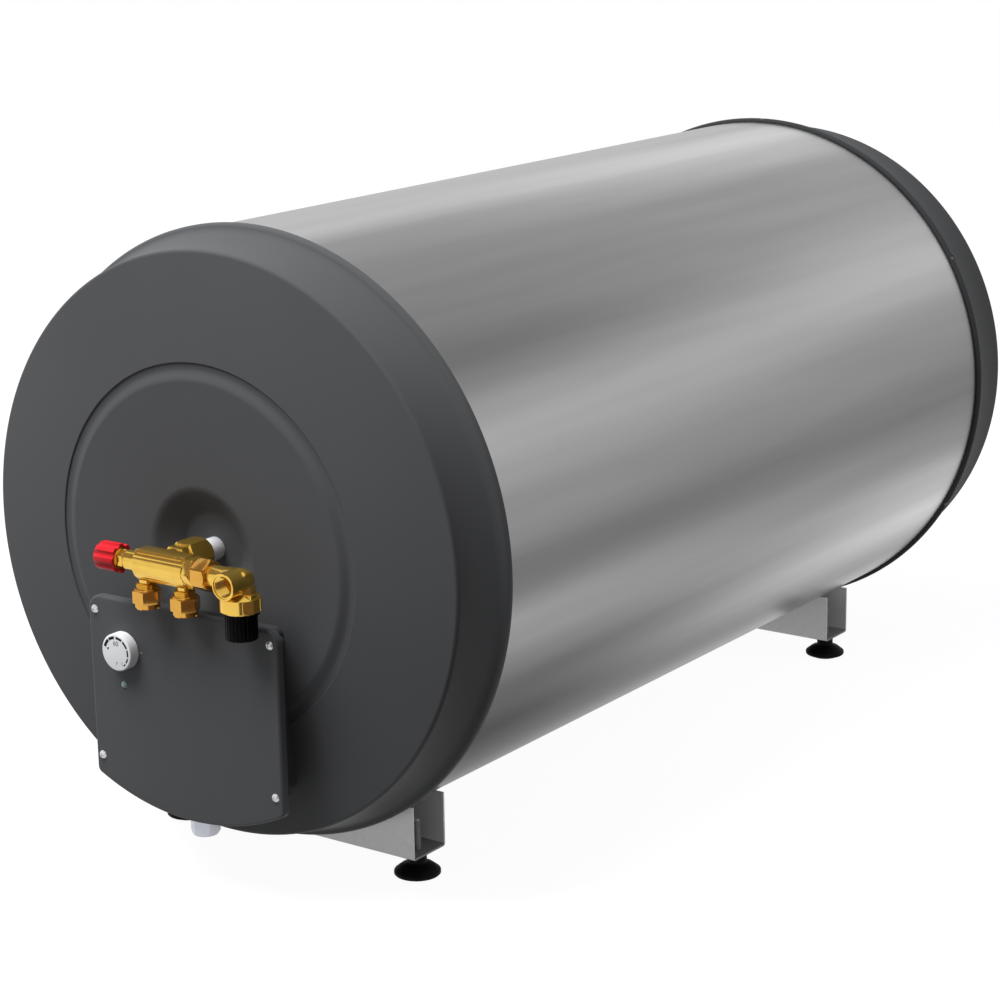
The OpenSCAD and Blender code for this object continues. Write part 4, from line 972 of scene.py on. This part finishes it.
def union_nut():
    piece = nut("union_nut_hexagon", 27, 43.8, 60, "x", VALVE, 0, 0, 1.5, 2.2)
    combine(piece, rod("barrel", 15.1, 43, 61, "x", VALVE, 96), how="INTERSECT")
    combine(piece, rod("seat_way", 12.1, 42, 57.6, "x", VALVE, 64),
            rod("tail_way", 10.6, 50, 61, "x", VALVE, 64))
    done(smooth(piece, 24), "heater", "brass", NUT_BRASS, "union_nut")


def safety_body():
    """Cast elbow: inlet from the left, open socket to the front, bell below."""
    x = SAFETY_X
    at = (x, VALVE_Y, 0)
    barrel = [(0, 54), (12, 54), (12, 57.5), (10.5, 57.5), (10.5, 76), (11.4, 78), (11.4, x)]
    barrel += arc((5.4, x + 5), 6, 0, 90, 8)[1:] + [(0, x + 11)]
    body = lathe("safety_casting", barrel, "x", VALVE, 96)
    bpy.ops.object.select_all(action="DESELECT")
    bpy.ops.mesh.primitive_uv_sphere_add(segments=64, ring_count=40, radius=12.2, location=at)
    ball = settle(bpy.context.object, Matrix.Translation(at))
    socket = lathe("socket", [(0, -153), (12.1, -153), (12.5, -152.6), (12.5, -139.4),
                              (12, -139), (12, VALVE_Y), (0, VALVE_Y)], "y", (x, 0, 0), 96)
    bell = lathe("bell", [(0, 0), (11, 0), (11, -7.5), (12, -9.4), (17.6, -12.4),
                          (19, -13.9), (19, -25.8), (18, -27), (0, -27)], "z", at, 96)
    combine(body, ball, socket, bell, how="UNION")
    hood = lathe("hood", [(0, 3)] + arc((1, -9), 11, 88, 0, 10) + [(12, -14), (0, -14)], "z",
                 (x + 1.6, VALVE_Y + 2, 0), 64)
    lug = box_form("lug", (x + 9, VALVE_Y - 6, -15), (x + 17.6, VALVE_Y + 2, -9.4))
    combine(body, hood, soften(lug, 0.8, 40), how="UNION")
    for turn in (20, -40):
        rib = box_form("rib", (x + 15.6, VALVE_Y - 1.6, -25.4), (x + 19.6, VALVE_Y + 1.6, -14.4))
        combine(body, settle(soften(rib, 0.5, 40), round_about("Z", turn, at)), how="UNION")
    mouth = [(0, -154), (11.2, -154), (10.6, -152)] + threads(10.5, -152, -138, 2, 0.9)
    combine(body, lathe("mouth", mouth + [(0, -138)], "y", (x, 0, 0), 64),
            rod("way", 5, -139, VALVE_Y, "y", (x, 0, 0), 32))
    done(smooth(body, 30), "heater", "brass", ROUGH_BRASS, "safety_body")


def safety_knob():
    """Black knob, with fluted sides and a lower edge that shows the flutes."""
    radius, count, low, high = 14.75, 24, -52.7, -29.7
    outline = []
    for step in range(count*8):
        turn = math.tau*step/(count*8)
        near = (step + 4) % 8 - 4
        away = (radius + 0.5)*abs(math.sin(math.radians(near*360/count/8)))
        reach = radius
        if away < 1.1:
            reach = min(radius, (radius + 0.5) - math.sqrt(1.1**2 - away**2))
        outline.append(Vector((SAFETY_X + reach*math.cos(turn),
                               VALVE_Y + reach*math.sin(turn), low)))
    knob = slab("safety_knob_moulding", outline, (0, 0, high - low))
    soften(knob, 0.5, 60, 2)
    at = (SAFETY_X, VALVE_Y, 0)
    combine(knob, rod("hollow", 10.6, low + 3, high + 1, "z", at, 64),
            lathe("dish", [(0, low - 1), (12, low - 1), (11, low + 1), (0, low + 1)], "z", at,
                  48))
    done(smooth(knob, 40), "safety_knob", "black_plastic", BLACK_PLASTIC, "safety_knob")


# Channels and feet

def channels():
    """U-channels of bent sheet under the jacket, cut to its curve."""
    half, tall, sheet, bend = 25, 54, 2, 3
    low = -302
    outline = [(-half, low + tall)] + arc((bend - half, low + bend), bend, 180, 270, 6)
    outline += arc((half - bend, low + bend), bend, 270, 360, 6) + [(half, low + tall)]
    outline += [(half - sheet, low + tall)]
    outline += arc((half - bend, low + bend), bend - sheet, 360, 270, 4)
    outline += arc((bend - half, low + bend), bend - sheet, 270, 180, 4)
    outline += [(sheet - half, low + tall)]
    y = CHANNELS[0]
    front = slab("front_channel_sheet", [Vector((-160, y + a, z)) for a, z in outline],
                 (320, 0, 0))
    combine(front, rod("jacket_way", JACKET_R, y - 40, y + 40, "y", (0, 0, 0), 256))
    for x in (-FOOT_X, FOOT_X):
        combine(front, rod("hole", 4.3, low - 1, low + 4, "z", (x, y, 0), 40))
    combine(front, rod("hole", 5.1, low - 1, low + 4, "z", (0, y, 0), 40))
    smooth(front, 30)
    rear = twin(front, "rear_channel_sheet", Matrix.Translation((0, CHANNELS[1] - y, 0)))
    done(front, "heater", "grey_sheet", ZINC, "front_channel")
    done(rear, "heater", "grey_sheet", ZINC, "rear_channel")


def feet():
    """Pads with a collar, and the threaded studs that turn in them."""
    x, y = FOOT_X, CHANNELS[0]
    low = FLOOR
    outline = [(0, 0), (14.5, 0), (21.6, 3), (22.5, 3.9), (22.5, 6.4), (22, 7.2), (15.7, 12.2),
               (10.2, 14.2), (9.4, 14.9), (9.3, 15.5), (9.3, 25.4), (8.9, 25.8), (4.15, 25.8),
               (4.15, 9), (0, 9)]
    pad = lathe("pad", [(r, low + h) for r, h in outline], "z", (-x, y, 0), 64)
    smooth(pad, 35)
    stud = [(0, low + 8.1), (3.4, low + 8.1)] + threads(4, low + 8.7, -270.7, 1.25, 0.6)
    stud += [(3.2, -270), (0, -270)]
    stud = smooth(lathe("stud", stud, "z", (-x, y, 0), 40), 25)
    for side, row in ((-1, "l"), (1, "r")):
        for back, place in ((0, "f"), (1, "r")):
            move = Matrix.Translation((x*(side + 1), CHANNELS[back] - y, 0))
            names = ("front" if back == 0 else "rear") + ("_left" if side < 0 else "_right")
            done(twin(pad, "pad_moulding_" + names, move), "pad_" + place + row, "pad_rubber",
                 PAD_PLASTIC, "pad_" + names)
            done(twin(stud, "stud_thread_" + names, move), "stud_" + place + row,
                 "stud_steel", STUD_METAL, "stud_" + names)
    for first in (pad, stud):
        bpy.data.objects.remove(first, do_unlink=True)


# What stays as the frame has it

def foam():
    look = Look("rigid_foam", Roughness=0.9, Specular_IOR_Level=0.1)
    cell = look.noise(0.002)
    look.set("Base Color", look.mix(cell, shade((214, 186, 116)), shade((238, 216, 156))))
    look.bump(cell, 0.4, 0.001)
    return look.material


def finish_the_rest():
    """Gives the nodes that no piece stands for a finish, by their slot."""
    finishes = {
        "jacket_steel": STEEL, "dark_plastic": BOX_PLASTIC, "zinc": BOLT_METAL,
        "foam": foam(), "tank_steel": metal("enamelled_steel", (92, 98, 112), 0.4),
        "pipe_steel": NICKEL, "copper": metal("copper", (214, 140, 104), 0.3),
        "rubber": moulding("rubber", (28, 28, 29), 0.7), "lamp_lens": LENS,
        "white_plastic": moulding("pale_plastic", (226, 226, 222), 0.5, 0.4),
        "stud_steel": SCREW_METAL, "black_plastic": BLACK_PLASTIC,
        "grey_plastic": moulding("grey_plastic", (132, 134, 138), 0.5, 0.3),
        "brass": BRASS, "red_plastic": RED_PLASTIC, "grey_sheet": ZINC,
        "pad_rubber": PAD_PLASTIC}
    for part in frame["record"]["subparts"]:
        node = frame["nodes"][part["node"]]
        node.data.materials.clear()
        node.data.materials.append(finishes[part["material_slot"]])


# Camera, room and light

def camera():
    bpy.ops.object.camera_add()
    view = bpy.context.object
    right, up = Vector(CAMERA_RIGHT).normalized(), Vector(CAMERA_UP).normalized()
    turn = Matrix((right, up, right.cross(up))).transposed().to_4x4()
    view.matrix_world = Matrix.Translation(ORIGIN + Vector(CAMERA_PLACE)*MM) @ turn
    view.data.lens = CAMERA_LENS
    view.data.sensor_width = 36
    view.data.clip_end = 200
    bpy.context.scene.camera = view


def seen(tree):
    """1 for what the camera or a mirror or glass sees, 0 for light that falls on things."""
    path = tree.node("ShaderNodeLightPath").outputs
    eye = Value(tree, path["Is Camera Ray"])
    return eye.sum("MAXIMUM", eye.sum("MAXIMUM", eye, path["Is Glossy Ray"]),
                   path["Is Transmission Ray"])


def room():
    """White to look at, and soft light that comes mostly from above."""
    world = bpy.data.worlds.new("room")
    bpy.context.scene.world = world
    world.use_nodes = True
    air = Tree(world.node_tree)
    way = air.node("ShaderNodeTexCoord").outputs["Generated"]
    up = Value(air, air.node("ShaderNodeSeparateXYZ", {}, {0: way}).outputs[2])
    light = up.between(-0.3, 1)*0.28 + 0.13
    show = seen(air)
    strength = light*(1 - show) + show
    back = air.node("ShaderNodeBackground", {}, {"Color": (1, 1, 1), "Strength": strength})
    air.node("ShaderNodeOutputWorld", {}, {"Surface": back.outputs[0]})


def floor():
    bpy.ops.object.select_all(action="DESELECT")
    bpy.ops.mesh.primitive_plane_add(size=80)
    ground = bpy.context.object
    ground.name = "floor"
    look = Tree(material("pale_floor"))
    glow = look.node("ShaderNodeEmission", {}, {"Color": (1, 1, 1), "Strength": 0.95})
    matt = look.node("ShaderNodeBsdfDiffuse", {}, {"Color": (0.13, 0.13, 0.13)})
    both = look.node("ShaderNodeAddShader", {}, {0: glow.outputs[0], 1: matt.outputs[0]})
    dim = look.node("ShaderNodeBsdfDiffuse", {}, {"Color": (0.1, 0.1, 0.1)})
    pick_one = look.node("ShaderNodeMixShader", {}, {0: seen(look), 1: dim.outputs[0],
                                                     2: both.outputs[0]})
    look.node("ShaderNodeOutputMaterial", {}, {"Surface": pick_one.outputs[0]})
    ground.data.materials.append(bpy.data.materials["pale_floor"])


def material(name):
    made = bpy.data.materials.new(name)
    made.use_nodes = True
    return made.node_tree


def lamp(name, place, target, size, power):
    bpy.ops.object.light_add(type="AREA", location=place)
    light = bpy.context.object
    light.name = name
    light.data.size = size
    light.data.energy = power
    light.visible_glossy = False
    aim = Vector(target) - Vector(place)
    light.rotation_euler = aim.to_track_quat("-Z", "Y").to_euler()


def card(name, place, target, wide, tall, glow):
    """A warm dark card that faces a target, and that only mirrors see."""
    bpy.ops.object.select_all(action="DESELECT")
    bpy.ops.mesh.primitive_plane_add(size=1)
    aim = (Vector(target) - Vector(place)).to_track_quat("Z", "Y").to_matrix().to_4x4()
    sheet = settle(bpy.context.object,
                   Matrix.Translation(place) @ aim @ Matrix.Diagonal((wide, tall, 1, 1)))
    sheet.name = name
    look = Tree(material(name + "_brown"))
    light = look.node("ShaderNodeEmission", {}, {"Color": glow, "Strength": 1.0})
    look.node("ShaderNodeOutputMaterial", {}, {"Surface": light.outputs[0]})
    sheet.data.materials.append(bpy.data.materials[name + "_brown"])
    sheet.visible_camera = False
    sheet.visible_diffuse = False
    sheet.visible_shadow = False
    sheet.visible_transmission = False


camera()
jacket()
front_cap()
rear_cap()
rear_cap_screws()
control_box()
cover_plate()
cover_screws()
dial()
dial_index()
lamp_lens()
cable_gland()
back_nut()
mixer_body()
mixer_knob()
mixer_bonnet()
outlet_nuts()
union_nut()
safety_body()
safety_knob()
channels()
feet()
finish_the_rest()
place_all()
room()
floor()
card("right_card", (0.3, -0.69, 0.29), (0, -0.69, 0.29), 0.42, 0.4, (0.15, 0.1, 0.12))
card("upper_card", (-0.17, -0.715, 0.59), (0.03, -0.57, 0.33), 0.42, 0.32, (0.17, 0.115, 0.14))
lamp("key_lamp", (-0.9, -1.75, 3.8), (0, -0.3, 0.3), 2.6, 255)
scene = bpy.context.scene
scene.view_settings.view_transform = "Standard"
